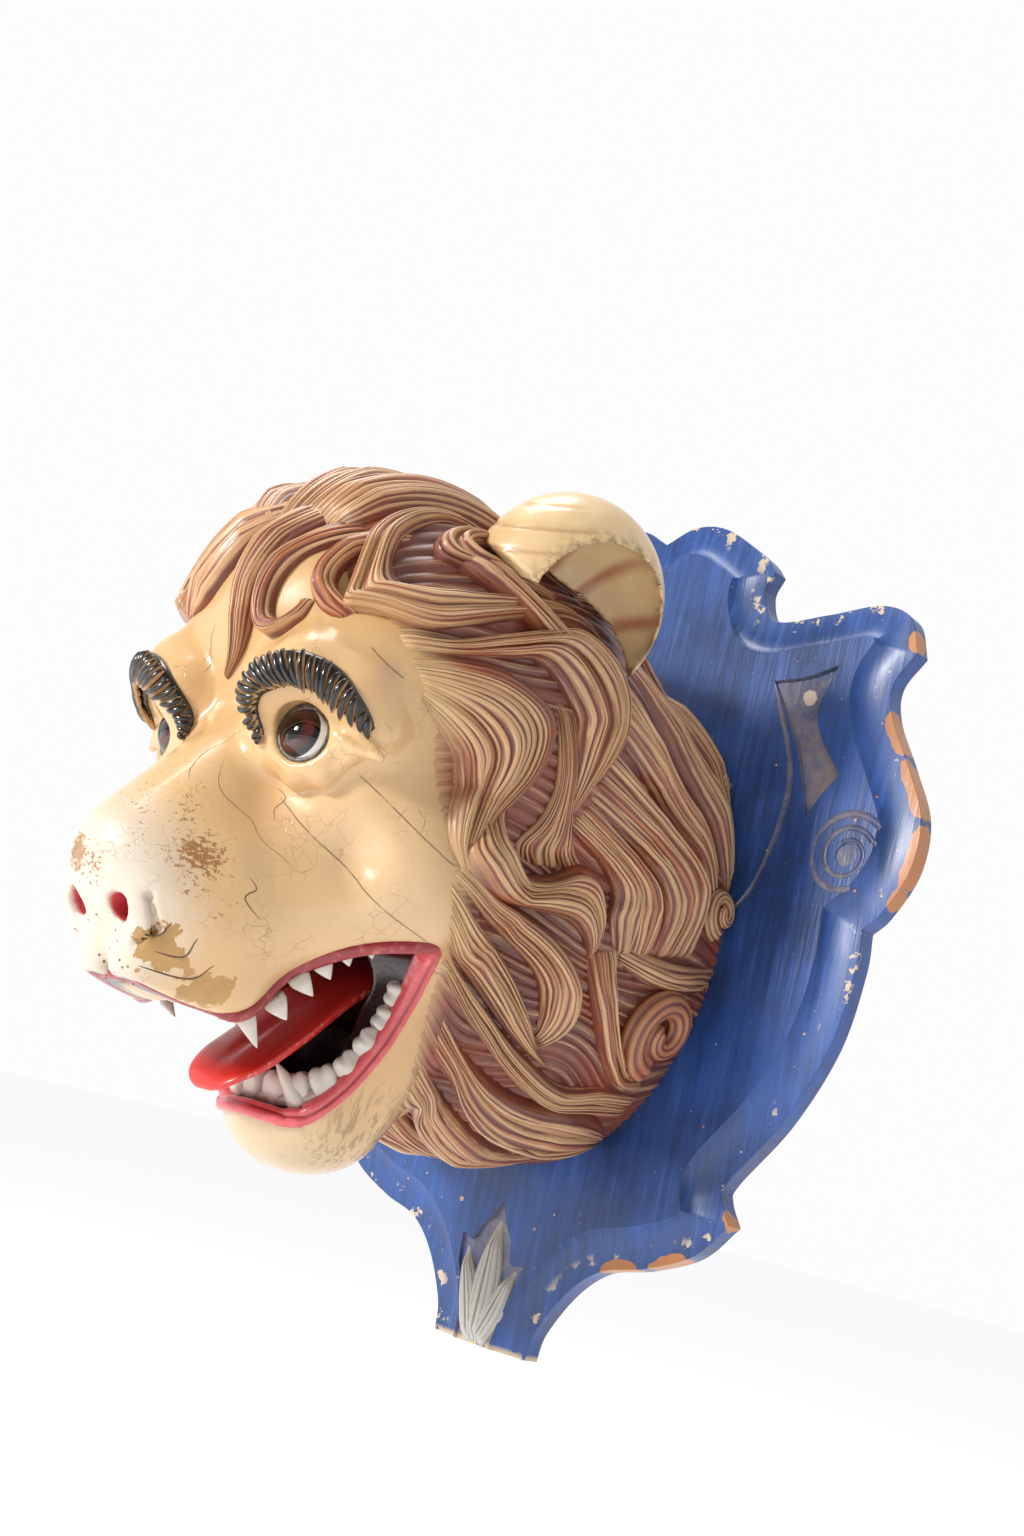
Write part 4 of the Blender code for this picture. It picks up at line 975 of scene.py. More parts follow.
def make_ears(paint, settings):
    """Ears by surface nets, with the carver's strokes on the lobe and grooves that fan out in the
    hollow cut in along the skin's own direction"""
    cell = settings.ear_cell / UNIT * 1
    points, quads = nets(ear_field, (-54, -74, -74), (52, 74, 74), cell)
    points = settle(ear_field, points)
    slope = unit(slope_of(ear_field, points))
    foot = np.array([-8.0, 8, -52])
    away = points - foot
    fan = np.degrees(np.arctan2(away[:, 1], away[:, 2]))
    reach = np.linalg.norm(away, axis=1)
    outer = egg_field(points, (0, 0, 0), EAR_RADII, 0)
    inner = egg_field(points, EAR_SHIFT, EAR_HOLLOW, 0)
    hollow = ease(0.0, 0.5, -np.sign(outer + 1.2))
    fan_cut = np.maximum(0, np.cos(np.radians(fan * 15))) ** 3 * ease(26, 40, reach)
    fan_cut = fan_cut * ease(125, 84, reach) * hollow
    lobe = ease(10, 20, points[:, 1]) * (1 - hollow) * ease(-40, -10, points[:, 2])
    stroke = np.maximum(0, np.sin(0.42 * (points[:, 2] + 0.35 * points[:, 1]))) ** 6 * lobe * ease(
        60, 40, points[:, 2])
    rim = np.exp(-(outer / 5) ** 2 - (inner / 5) ** 2)
    points = points - slope * (2.0 * fan_cut + 0.9 * stroke)[:, None]
    for sign, side in SIDES:
        axes = ear_axes(sign)
        centre = place(EAR_CENTRE, sign)
        values = {"fan": fan_cut, "stroke": stroke, "rim": rim, "foot": ease(62, 22, reach)}
        made = piece("painted_ear_" + side, centre + (points * UNIT) @ axes, quads, paint,
                     values)
        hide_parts("ear_" + side)


def tooth_sections(foot, axis, across, size, width, thick, bend=0.0):
    """Sections of a tooth: a flattened round that narrows as (1 - t^1.5) and leans as it grows"""
    t = np.linspace(0, 1, 14)
    turn = full_turn(20)
    deep = np.cross(axis, across)
    share = np.concatenate([[0.94, 0.98], (1 - t ** 1.15) ** 0.9 * 0.96 + 0.04])
    reach = np.concatenate([[-TOOTH_ROOT, -TOOTH_ROOT / 2], t * size])
    lean = np.concatenate([[0, 0], bend * t ** 2])
    ring = spokes(turn, across * width / 2, deep * thick / 2)
    return foot + reach[:, None, None] * axis + lean[:, None, None] * deep + share[:, None, None] * ring


def make_upper_teeth(paint):
    """Twelve teeth in the upper lip, at right angles to its edge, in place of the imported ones"""
    row = np.array([foot for foot, _, _ in UPPER_TEETH], float)
    run = np.gradient(row, axis=0)
    for sign, side in SIDES:
        for number, (foot, size, width) in enumerate(UPPER_TEETH):
            along = unit(run[number] * np.array([sign, -1, 1]))
            axis = unit(np.cross(along, (-1, 0, 0)))
            axis = axis if axis[2] < 0 else -axis
            across = unit(along - axis * along.dot(axis))
            middle = place(np.array(foot) - np.array([2.5, 1, 0]), sign)
            bend = UNIT * (1.6 if number == 0 else 0.4)
            size = size * (0.6 if number == 0 and sign < 0 else 1)
            sections = tooth_sections(middle, axis, across, size * UNIT, width * 0.94 * UNIT,
                                      TOOTH_THICKNESS, bend)
            heap = Heap()
            heap.add(sections, {"height": np.linspace(-0.2, 1, len(sections))[:, None]})
            name = "%d_%s" % (number + 1, side)
            made = heap.piece("ivory_tooth_" + name, paint, "tooth_paint")
            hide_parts("upper_tooth_" + name)


def make_lower_teeth(paint):
    """The lower row: a gum rod with a tooth standing on it at every step, each a rounded block whose
    sides are cut in flats and whose crown has two cusps, and the pointed tooth on each side"""
    half = np.array(LOWER_ROW[1:], float)
    knots = np.vstack([half[::-1] * np.array([-1, 1, 1]), [LOWER_ROW[0]], half])
    path = even(spline(knots, 600), 241)
    ahead = unit(np.gradient(path, axis=0))
    lift = unit(np.array([0.0, 0.25, 1.0]) - ahead * (ahead @ np.array([0.0, 0.25, 1.0]))[:, None])
    across = np.cross(ahead, lift)
    turn = full_turn(20)
    ring = spokes(turn, 6.5 * across, 5.5 * lift)
    heap = Heap()
    heap.add(place(path[:, None] - 4.5 * lift[:, None] + ring), {"height": np.array(-0.3)})
    rng = np.random.default_rng(5)
    rows, columns = ((30, 48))
    polar = np.linspace(0.03, np.pi - 0.03, rows)
    round_turn = full_turn(columns)
    spacing = np.linalg.norm(np.diff(path, axis=0), axis=1).sum() / LOWER_LUMPS
    for number in range(LOWER_LUMPS):
        k = int((number + 0.5) / LOWER_LUMPS * 240)
        size = np.array([spacing * 0.52, LOWER_TOOTH * 0.72, LOWER_TOOTH]) * rng.uniform(0.92, 1.06, 3)
        c, d = np.cos(round_turn), np.sin(round_turn)
        girth = np.sin(polar)[:, None] ** 0.8
        flats = 1 + 0.08 * np.cos(5 * round_turn + rng.uniform(0, 6))[None] * girth
        a = np.sign(c) * np.abs(c) ** 0.8 * girth * flats
        b = np.sign(d) * np.abs(d) ** 0.8 * girth * flats
        high = np.sign(np.cos(polar))[:, None] * np.abs(np.cos(polar))[:, None] ** 0.85 + 0 * a
        high = high + 0.13 * np.abs(a) * (high > 0) - 0.10 * np.exp(-(a / 0.25) ** 2) * (high > 0)
        frame_here = np.stack([ahead[k], across[k], lift[k]])
        spot = path[k] + 1.5 * lift[k] + (np.stack([a, b, high], -1) * size) @ frame_here
        heap.add(place(spot), {"height": 0.5 + 0.5 * high})
    for sign, _ in SIDES:
        foot, tip = place(LOWER_FANG, sign)
        axis = unit(tip - foot)
        side = unit(np.cross(axis, (0, 0, 1)))
        size = np.linalg.norm(tip - foot)
        sections = tooth_sections(foot, axis, side, size * 1.02, 18 * UNIT, 15 * UNIT, 0.8 * UNIT)
        heap.add(sections, {"height": np.linspace(0.2, 1, len(sections))[:, None]})
    made = heap.piece("pearl_teeth", paint, "tooth_paint")
    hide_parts("lower_teeth")


def make_tongue(paint):
    """The tongue slab: flat rounded sections along its run, round at the tip, with a low groove down
    the middle"""
    stations, around = ((110, 72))
    run = np.array(spline([(0, f, u) for f, u in TONGUE_RUN], 400))
    run = even(run, stations)
    ahead = unit(np.gradient(run, axis=0))
    up = np.cross(ahead, (-1, 0, 0))
    up = up * np.sign(up[:, 2:])
    reach = np.linalg.norm(run - run[0], axis=1)
    turn = full_turn(around)
    share = np.minimum(1.0, (reach + 1.0) / (0.56 * TONGUE_WIDTH))
    wide = TONGUE_WIDTH / 2 * (1 - (1 - share) ** 2) ** 0.5
    deep = TONGUE_THICKNESS / 2 * (0.45 + 0.55 * share) * np.minimum(1, 0.35 + reach / 3)
    c, s = np.cos(turn), np.sin(turn)
    side = (np.sign(c) * np.abs(c) ** 0.75)[None] * wide[:, None]
    rise = (np.sign(s) * np.abs(s) ** 0.6)[None] * deep[:, None]
    groove = np.exp(-(side / 5.0) ** 2) * ease(8, 40, reach)[:, None] * (s > 0)[None] * 1.4
    sections = run[:, None] + (rise - groove)[..., None] * up[:, None]
    sections[..., 0] += side
    heap = Heap()
    # The nearness to the side edges marks where the paint turns pale: wear and a painted highlight
    heap.add(place(sections), {"edge": np.abs(c)[None]})
    made = heap.piece("painted_tongue", paint, "tongue_paint")
    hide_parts("tongue")


def cross(a, b):
    """The flat cross product"""
    return a[..., 0] * b[..., 1] - a[..., 1] * b[..., 0]


def meetings(a, b):
    """Every place where a stretch of line a crosses one of line b: both indices and the points"""
    p, r = a[:-1, None], np.diff(a, axis=0)[:, None]
    q, s = b[None, :-1], np.diff(b, axis=0)[None]
    under = cross(r, s)
    turned = np.abs(under) > 1e-9
    under = np.where(turned, under, 1.0)
    t, u = cross(q - p, s) / under, cross(q - p, r) / under
    i, j = np.nonzero(turned & (t >= 0) & (t < 1) & (u >= 0) & (u < 1))
    return i, j, a[i] + t[i, j][:, None] * np.diff(a, axis=0)[i]


def moved_in(line, distance):
    """A stretch of the outline moved in along its own normals, led on straight at both ends, with the
    loop taken out where it is rounder than the distance"""
    ahead = unit(np.gradient(line, axis=0))
    out = line + distance * np.stack([ahead[:, 1], -ahead[:, 0]], -1)
    i, j, at = meetings(out, out)
    loop = j > i + 1
    if loop.any():
        k = np.argmax((j - i) * loop)
        out = np.vstack([out[:i[k] + 1], at[k][None], out[j[k] + 1:]])
    reach = 2.2 * distance + 1
    return np.vstack([out[0] - ahead[0] * reach, out, out[-1] + ahead[-1] * reach])


def board_ring(distance):
    """The outline moved in by a distance and mitred: each stretch between two corners is cut where it
    meets its neighbour, the middle line or the tip's straight edge, and divided evenly again"""
    step = 2.0
    lines = [spline(row, 220) for row in OUTLINE]
    counts = [max(8, int(np.linalg.norm(np.diff(line, axis=0), axis=1).sum() / step)) for line in lines]
    moved = [moved_in(line, distance) for line in lines] if distance > 0 else lines
    middle = np.array([(0.0, 700.0), (0.0, 500.0)])
    foot = np.array([(0.0, 0.0), (200.0, 0.0)])
    cut = []
    for number, line in enumerate(moved):
        start = end = None
        if distance > 0:
            before = moved[number - 1] if number else middle
            after = moved[number + 1] if number < len(moved) - 1 else foot
            for other, corner in ((before, lines[number][0]), (after, lines[number][-1])):
                i, _, at = meetings(line, other)
                k = np.argmin(np.linalg.norm(at - corner, axis=1))
                if other is before:
                    start = (i[k], at[k])
                else:
                    end = (i[k], at[k])
            line = np.vstack([start[1][None], line[start[0] + 1:end[0] + 1], end[1][None]])
        cut.append(even(line, counts[number]))
    right = np.vstack([part[:-1] for part in cut] + [cut[-1][-1:]])
    left = right[1:][::-1] * np.array([-1, 1])
    return np.vstack([right, left])


def prism(name, points, front, back, flare=0.0):
    """A closed cutter: an outline in the board's plane between two depths"""
    points = np.asarray(points, float)
    middle = points.mean(0)
    wide = middle + (points - middle) * (1 + flare)
    sections = np.stack([board_place(*wide.T, front), board_place(*points.T, back)])
    return tube(name, sections)


def tube(name, sections):
    """A closed tube through sections, with a face over each end"""
    return outward(name, sections.reshape(-1, 3), tube_faces(*sections.shape[:2]))


def groove_cutter(name, line, radii, high):
    """A round rod along a line on the board's field, standing a little out of it"""
    path = board_place(line[:, 0], line[:, 1], FIELD_Y - high)
    ahead = unit(np.gradient(path, axis=0))
    lift = np.tile([0.0, -1.0, 0.0], (len(path), 1))
    across = np.cross(ahead, lift)
    turn = full_turn(14)
    radii = np.asarray(radii)[:, None, None]
    return tube(name, path[:, None] + radii * spokes(turn, across, lift))


LEAF_SPAN = ((0, 2, 0, 90, 13.0), (3, 2, 25, 58, 9.5), (-3, 2, -26, 66, 9.5))
LEAF_BED = ((-16, -3), (-18, 28), (-30, 56), (-31, 74), (-20, 70), (-14, 84), (-6, 90), (0, 104), (7, 88),
            (15, 78), (19, 60), (32, 62), (27, 44), (20, 22), (16, -3))


def spiral(turns, radius, tightening, start, count):
    """A line that winds in round the scroll's middle, its reach falling evenly"""
    t = np.linspace(0, 1, count)
    angle = math.radians(start) + 2 * np.pi * turns * t
    reach = radius * (1 - tightening * t)
    return np.array(VOLUTE_CENTRE) + reach[:, None] * np.stack([-np.sin(angle), np.cos(angle)], -1), t


def make_board(paint, dusty, settings):
    """The board: rings from its back, round its edge and up the hollow, whose rise is a quarter round,
    to the flat field, then the kites, scrolls, creases and the leaf's bed cut into it"""
    width = settings.cove_width / UNIT
    steps = np.linspace(0.0, 1.0, 15)[1:]
    rises = settings.cove_drop * (1 - np.sqrt(np.maximum(0.0, 1 - steps ** 2)))
    edge = FIELD_Y + settings.cove_drop
    outer = board_ring(0.0)
    sections = [board_place(*outer.T, 0.0), board_place(*outer.T, edge + 0.0005),
                board_place(*board_ring(0.5).T, edge)]
    sections += [board_place(*board_ring(step * width).T, edge - rise) for step, rise in zip(steps, rises)]
    board = tube("carved_board", np.stack(sections))
    tools = []
    count = 150
    for sign, side in SIDES:
        flip = np.array([sign, 1])
        kite = np.vstack([spline(row, 14)[:-1] for row in KITE]) * flip
        tools.append(prism("kite_" + side, kite, FIELD_Y - 0.002, FIELD_Y + settings.recess, 0.02))
        for name, shape, wide, thinner, high in SCROLLS:
            winding, t = spiral(*shape, count)
            half = settings.groove * (wide - thinner * t)
            tools.append(groove_cutter(name + side, winding * flip, half, high))
        crease = even(spline(CREASE, 200), count // 2) * flip
        fade = np.sin(np.pi * np.linspace(0.08, 0.92, len(crease))) ** 0.5
        tools.append(groove_cutter("crease_" + side, crease, settings.groove * 0.95 * fade, 0.0009))
        disc = spiral(1.0, 8.5, 0.0, 0, 24)[0][:-1] * flip
        tools.append(prism("scroll_eye_" + side, disc, FIELD_Y - 0.002, FIELD_Y + 0.0012, -0.08))
    tools.append(prism("leaf_bed", even(np.array(LEAF_BED + LEAF_BED[:1], float), 60)[:-1], FIELD_Y - 0.002,
                       FIELD_Y + 0.003, 0.03))
    board.data.materials.append(paint)
    for tool in tools:
        tool.data.materials.append(dusty)
        step = board.modifiers.new(tool.name, "BOOLEAN")
        step.operation, step.solver, step.object = "DIFFERENCE", "EXACT", tool
        step.material_mode = "TRANSFER"
    bpy.context.view_layer.update()
    done = bpy.data.meshes.new_from_object(board.evaluated_get(bpy.context.evaluated_depsgraph_get()))
    board.modifiers.clear()
    board.data = done
    for tool in tools:
        bpy.data.objects.remove(tool, do_unlink=True)
    done.polygons.foreach_set("use_smooth", [True] * len(done.polygons))
    done.set_sharp_from_angle(angle=math.radians(28))
    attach(board, "root")
    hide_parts("shield_board")


def make_leaf(paint):
    """The three lobes at the tip: each is a pointed dome, sin(pi t)^0.7 wide, with veins cut along it"""
    heap = Heap()
    rows, columns = ((60, 61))
    t = np.linspace(0.0, 1.0, rows)
    v = np.linspace(-1, 1, columns)
    for x0, z0, x1, z1, half in LEAF_SPAN:
        ahead = unit(np.array([x1 - x0, z1 - z0]))
        side = np.array([ahead[1], -ahead[0]])
        wide = half * np.maximum(0.03, np.sin(np.pi * (0.12 + 0.88 * t)) ** 0.75) * (1.25 - 0.5 * t)
        line = np.array([x0, z0]) + t[:, None] * np.array([x1 - x0, z1 - z0])
        spot = line[:, None] + (v[None] * wide[:, None])[..., None] * side
        dome = (1 - v ** 2)[None] ** 0.6 * ease(0, 0.12, t)[:, None] * ease(0, 0.25, 1 - t)[:, None]
        vein = np.maximum(np.exp(-(v / 0.10) ** 2), 0.7 * np.abs(np.cos(v * 8)) ** 8)[None]
        high = 6.2 * dome - 1.3 * vein * ease(0.02, 0.2, t)[:, None] * ease(0, 0.3, 1 - t)[:, None]
        top = board_place(spot[..., 0], spot[..., 1], FIELD_Y + 0.003 - UNIT * high)
        low = board_place(spot[:, ::-1][:, ::10, 0], spot[:, ::-1][:, ::10, 1], FIELD_Y + 0.006)
        groove = np.concatenate([vein + 0 * t[:, None], np.zeros((rows, low.shape[1]))], 1)
        heap.add(np.concatenate([top, low], 1), {"groove": groove})
    heap.piece("tip_leaf", paint, "board_paint")


# Hair cracks and the whiskers cut in the lip, as (side, up) seen from the front, and their half width
CRACKS = (
    (((27, 4), (34, -13), (42, -22), (49, -28), (58, -38), (66, -44), (72, -50)), 0.24),
    (((65, -62), (68, -68), (67, -75), (71, -84)), 0.4),
    (((-24, 96), (-27, 86), (-25, 78), (-28, 70)), 0.3), (((-26, 80), (-22, 70), (-24, 62)), 0.3),
    (((46, -2), (52, -8), (50, -16), (54, -24)), 0.3), (((20, 20), (16, 8), (19, -6), (24, -14)), 0.25),
    (((38, -110), (43, -107), (48, -99)), 0.62), (((37, -117), (47, -116), (55, -104)), 0.62),
    (((30, -127), (45, -127), (55, -116)), 0.62),
)


def make_cracks(paint):
    """Dark lines in the face's paint: rods a hair thick along curves that wander a little, pressed
    half into the skin"""
    rng = np.random.default_rng(3)
    heap = Heap()
    turn = full_turn(6)
    for knots, half in CRACKS:
        line = even(spline(knots, 120), 60)
        line = line + np.cumsum(rng.normal(0, 0.045, line.shape), axis=0) * (half < 0.6)
        origin = np.column_stack([line[:, 0], 0 * line[:, 0], line[:, 1]])
        ahead = np.tile([0.0, 1.0, 0.0], (len(origin), 1))
        path = walk_in(origin, ahead, 600, 60, face_field)
        normal = unit(slope_of(face_field, path))
        along = unit(np.gradient(path, axis=0))
        across = unit(np.cross(along, normal))
        thick = half * np.sqrt(np.sin(np.pi * np.linspace(0.02, 0.98, len(path))))
        heap.add(place(path[:, None] + thick[:, None, None] * spokes(turn, across, 0.5 * normal)), {})
    heap.piece("paint_cracks", paint, "head_paint")


def fresh(name):
    """A new material, its tree and the piece's own coordinates in it"""
    made = bpy.data.materials.new(name)
    made.use_nodes = True
    return made, made.node_tree, add_node(made.node_tree, "TexCoord", out="Object")


def coat(tree, under, value, low, high, over, least=0.0, most=1.0):
    """One more coat of colour over the one beneath: the least share of it where the value is at the low
    mark, the most at the high one"""
    share = add_node(tree, "MapRange", {0: value, 1: low, 2: high, 3: least, 4: most}, 0)
    over = linear(over) if isinstance(over, str) else over
    return add_node(tree, "Mix", {0: share, 6: under, 7: over}, 2, data_type="RGBA")


def nearness(tree, at, spot, full, none, most=1.0):
    """The most within a first distance of a place, in thousandths, falling to 0 at a second one"""
    away = add_node(tree, "VectorMath", {0: at, 1: tuple(map(float, spot))}, 1, operation="DISTANCE")
    return add_node(tree, "MapRange", {0: away, 1: none * UNIT, 2: full * UNIT, 4: most}, 0)


def finish(made, base, gloss, relief=None):
    """The shader's colour, its gloss by socket and a relief given as height, strength and depth"""
    tree = made.node_tree
    sockets = {"Base Color": base, **gloss}
    if relief:
        height, strength, depth = relief
        sockets["Normal"] = add_node(tree, "Bump", {"Height": height, "Strength": strength,
                                                    "Distance": depth}).outputs["Normal"]
    fill(tree, tree.nodes["Principled BSDF"], sockets)
    return made


# Joints of the glued block: how far each plane lies along its normal, the middle of what shows and its reach
JOINT_WAY = (-0.58, -0.135, -0.804)
JOINTS = ((0.1342, (88, 308, -42), 66), (0.0889, (110, 292, -4), 46), (0.0300, (102, 338, 83), 14),
          (0.1512, (97, 228, -84), 26))
# Where the paint has flaked: the middle, the two distances of its reach and how bare it is
FLAKES = (((48, 394, -60), 6, 36, 0.38), ((22, 404, -36), 6, 48, 0.26), ((-9, 430, -72), 6, 19, 0.52),
          ((60, 374, -86), 4, 26, 0.20), ((34, 398, -44), 5, 30, 0.28), ((6, 430, -80), 4, 24, 0.28))


def cream_paint(paints):
    """Cream oil paint on gessoed wood, glossy with old varnish: yellow on the brow, whiter on the nose,
    with hair cracks, dark joint lines, brown flaking on the nose and a bared ochre patch on the lip,
    and painted shade under the chin and in the mouth's hollow"""
    made, tree, at = fresh("cream oil paint")
    hair, nostril, inside = (add_node(tree, "Attribute", out="Fac", attribute_name=name)
                             for name in ("hair", "nostril", "inside"))
    # Clouds of 70, 8, 30, 22, 21, 12 and 18 mm
    cloud, fine, patches, waver, wide, torn, dents = (
        add_node(tree, "TexNoise", {"Vector": at, "Scale": scale, "Detail": detail, "Roughness": rough}, 0)
        for scale, detail, rough in (
            (14.0, 5.0, 0.6), (130.0, 4.0, 0.65), (34.0, 4.0, 0.55), (45.0, 4.0, 0.55), (48.0, 3.0, 0.55),
            (85.0, 4.0, 0.6), (55.0, 5.0, 0.6)))
    base = coat(tree, paints.cream, cloud, 0.35, 0.68, "#d4aa78")
    base = coat(tree, base, nearness(tree, at, place((108, 300, -40)), 20, 95), 0, 1, "#d6b48b", most=0.75)
    nose = nearness(tree, at, place((0, 440, -100)), 30, 92)
    whiter = add_node(tree, "Math", {0: fine, 1: 0.35, 2: nose}, 0, operation="MULTIPLY_ADD")
    base = coat(tree, base, whiter, 0.22, 0.87, paints.pale)
    # Painted shade: the underside of the chin in a greyer, darker cream
    base = coat(tree, base, nearness(tree, at, place((0, 236, -215)), 40, 78), 0, 1, "#c4ab86")
    # Brown fans out from the hairline
    base = coat(tree, base, hair, 0, 1, "#c39a64", most=0.6)
    # A net of hair cracks 7 mm wide, bent by 6 mm clouds and only in places
    bend = add_node(tree, "TexNoise", {"Vector": at, "Scale": 60.0, "Detail": 3.0}).outputs["Color"]
    moved = add_node(tree, "VectorMath", {0: bend, 1: (0.01,) * 3, 2: at}, 0, operation="MULTIPLY_ADD")
    net = add_node(tree, "TexVoronoi", {"Vector": moved, "Scale": 95.0}, 0, feature="DISTANCE_TO_EDGE")
    crack = add_node(tree, "MapRange", {0: net, 1: 0.022, 2: 0.0, 4: add_node(
        tree, "MapRange", {0: patches, 1: 0.50, 2: 0.62}, 0)}, 0)
    base = coat(tree, base, crack, 0, 1, "#7d5a3a", most=0.42)
    # The joints: half a millimetre dark, wavering by half a millimetre
    along = add_node(tree, "VectorMath", {0: at, 1: JOINT_WAY}, 1, operation="DOT_PRODUCT")
    along = add_node(tree, "Math", {0: waver, 1: 0.0016, 2: along}, 0, operation="MULTIPLY_ADD")
    dirt = add_node(tree, "MapRange", {0: fine, 1: 0.30, 2: 0.46, 3: 0.35, 4: 0.85}, 0)
    for level, spot, reach in JOINTS:
        off = add_node(tree, "Math", {0: along, 1: level + 0.0008}, 0, operation="SUBTRACT")
        off = add_node(tree, "Math", {0: off}, 0, operation="ABSOLUTE")
        base = coat(tree, base, off, 0.00055, 0.00018, "#5b4a3e",
                    most=nearness(tree, at, place(spot), reach * 0.9, reach, dirt))
    # Brown flaking: 3 mm scraps where the paint has lifted from the nose's bridge and tip
    flat = add_node(tree, "Mapping", {"Vector": at, "Scale": (1.0, 0.7, 1.3)}, 0)
    scrap = add_node(tree, "TexNoise", {"Vector": flat, "Scale": 330.0, "Detail": 4.0, "Roughness": 0.75}, 0)
    lifted = add_node(tree, "Math", {0: scrap, 1: 1.3}, 0, operation="MULTIPLY")
    lifted = add_node(tree, "Math", {0: wide, 1: 0.5, 2: lifted}, 0, operation="MULTIPLY_ADD")
    for spot, full, none, push in FLAKES:
        here = nearness(tree, at, place(spot), full, none)
        height = add_node(tree, "Math", {0: here, 1: push, 2: lifted}, 0, operation="MULTIPLY_ADD")
        base = coat(tree, base, height, 1.228, 1.252, "#9c6f43")
    # The bared ochre ground on the lip, with scraps of cream left on it
    front = nearness(tree, at, place((38, 394, -114)), 4, 29)
    behind = nearness(tree, at, place((47, 362, -130)), 4, 30)
    patch = add_node(tree, "Math", {0: front, 1: behind}, 0, operation="MAXIMUM")
    ragged = add_node(tree, "Math", {0: torn, 1: 1.3, 2: patch}, 0, operation="MULTIPLY_ADD")
    ochre = coat(tree, linear("#b88d4c"), cloud, 0.4, 0.6, "#a27a3c")
    base = coat(tree, base, ragged, 1.22, 1.235, ochre)
    # Whisker dots on the front of the lip, 5 mm apart
    dots = add_node(tree, "TexVoronoi", {"Vector": at, "Scale": 170.0}, 0)
    base = coat(tree, base, dots, 0.19, 0.13, "#5c4537",
                most=nearness(tree, at, place((4, 400, -118)), 22, 28))
    # Beard strokes low on the jaw, 1.5 mm wide and 12 mm long
    tilt = add_node(tree, "Mapping", {"Vector": at, "Scale": (340.0, 340.0, 26.0),
                                      "Rotation": (0.6, 0.35, 0)}, 0)
    hairs = add_node(tree, "TexNoise", {"Vector": tilt, "Scale": 1.0, "Detail": 2.0, "Roughness": 0.55}, 0)
    base = coat(tree, base, hairs, 0.50, 0.60, "#80673f",
                most=nearness(tree, at, place((62, 214, -198)), 20, 50, 0.55))
    # Pink in the nostrils, then painted shade in the mouth's hollow: near black low in the throat
    # and dark maroon on the palate above it
    base = coat(tree, base, nostril, 0, 1, "#c4494f")
    up = add_node(tree, "SeparateXYZ", {0: at}, 2)
    base = coat(tree, base, inside, 0, 1, coat(tree, linear("#151512"), up, -0.27, -0.225, "#2a0809"))
    relief = add_node(tree, "Math", {0: crack, 1: -0.6, 2: dents}, 0, operation="MULTIPLY_ADD")
    bared = add_node(tree, "MapRange", {0: ragged, 1: 1.22, 2: 1.235}, 0)
    relief = add_node(tree, "Math", {0: bared, 1: -1.2, 2: relief}, 0, operation="MULTIPLY_ADD")
    rough = add_node(tree, "MapRange", {0: cloud, 1: 0.3, 2: 0.7, 3: 0.24, 4: 0.38}, 0)
    return finish(made, base, {"Roughness": rough, "Coat Weight": 0.35, "Coat Roughness": 0.12},
                  (relief, 0.5, 0.0007))


def mane_paint(paints):
    """Tan oil paint glazed with red umber: the glaze stays in the cuts between the strands, streaks
    along them and turns orange in places, under a gloss varnish. The same umber also stands as painted
    shade in the deeper cuts, along the edges and ends of the locks and over the layer under them"""
    made, tree, at = fresh("glazed tan paint")
    groove, fade = (add_node(tree, "Attribute", out="Fac", attribute_name=name)
                    for name in ("groove", "fade"))
    flow = add_node(tree, "Attribute", out="Vector", attribute_name="flow")
    own = add_node(tree, "SeparateXYZ", {0: flow}, 2)
    # Streaks a millimetre wide and 40 mm long, in the strands' own measure
    long = add_node(tree, "Mapping", {"Vector": flow, "Scale": (0.85, 0.030, 9.0)}, 0)
    streak, rust, cloud = (
        add_node(tree, "TexNoise", {"Vector": way, "Scale": scale, "Detail": detail, "Roughness": rough}, 0)
        for way, scale, detail, rough in ((long, 1.0, 4.0, 0.65), (long, 2.3, 2.0, 0.55),
                                          (at, 22.0, 4.0, 0.55)))
    ridge = coat(tree, paints.tan, streak, 0.35, 0.65, "#b98a5c")
    ridge = coat(tree, ridge, own, 0.72, 0.95, "#a8683f")
    dark = coat(tree, paints.umber, cloud, 0.45, 0.66, "#8f4228")
    dark = coat(tree, dark, own, 0.10, 0.0, "#5c382e")
    # The umber's share: the glaze together with painted shade, from the groove value
    glaze_and_shade = add_node(tree, "Math", {0: streak, 1: 1.3, 2: groove}, 0, operation="MULTIPLY_ADD")
    glaze_and_shade = add_node(tree, "Math", {0: own, 1: 0.22, 2: glaze_and_shade}, 0, operation="MULTIPLY_ADD")
    both = coat(tree, ridge, glaze_and_shade, 0.95, 1.42, dark)
    both = coat(tree, both, rust, 0.60, 0.70, "#a8492a",
                most=add_node(tree, "MapRange", {0: cloud, 1: 0.5, 2: 0.6, 4: 0.7}, 0))
    both = coat(tree, both, fade, 0, 1, "#d3b07c",
                most=add_node(tree, "MapRange", {0: streak, 1: 0.25, 2: 0.6, 3: 1.0, 4: 0.55}, 0))
    return finish(made, both, {"Roughness": 0.42, "Coat Weight": 0.3, "Coat Roughness": 0.22},
                  (streak, 0.6, 0.0007))


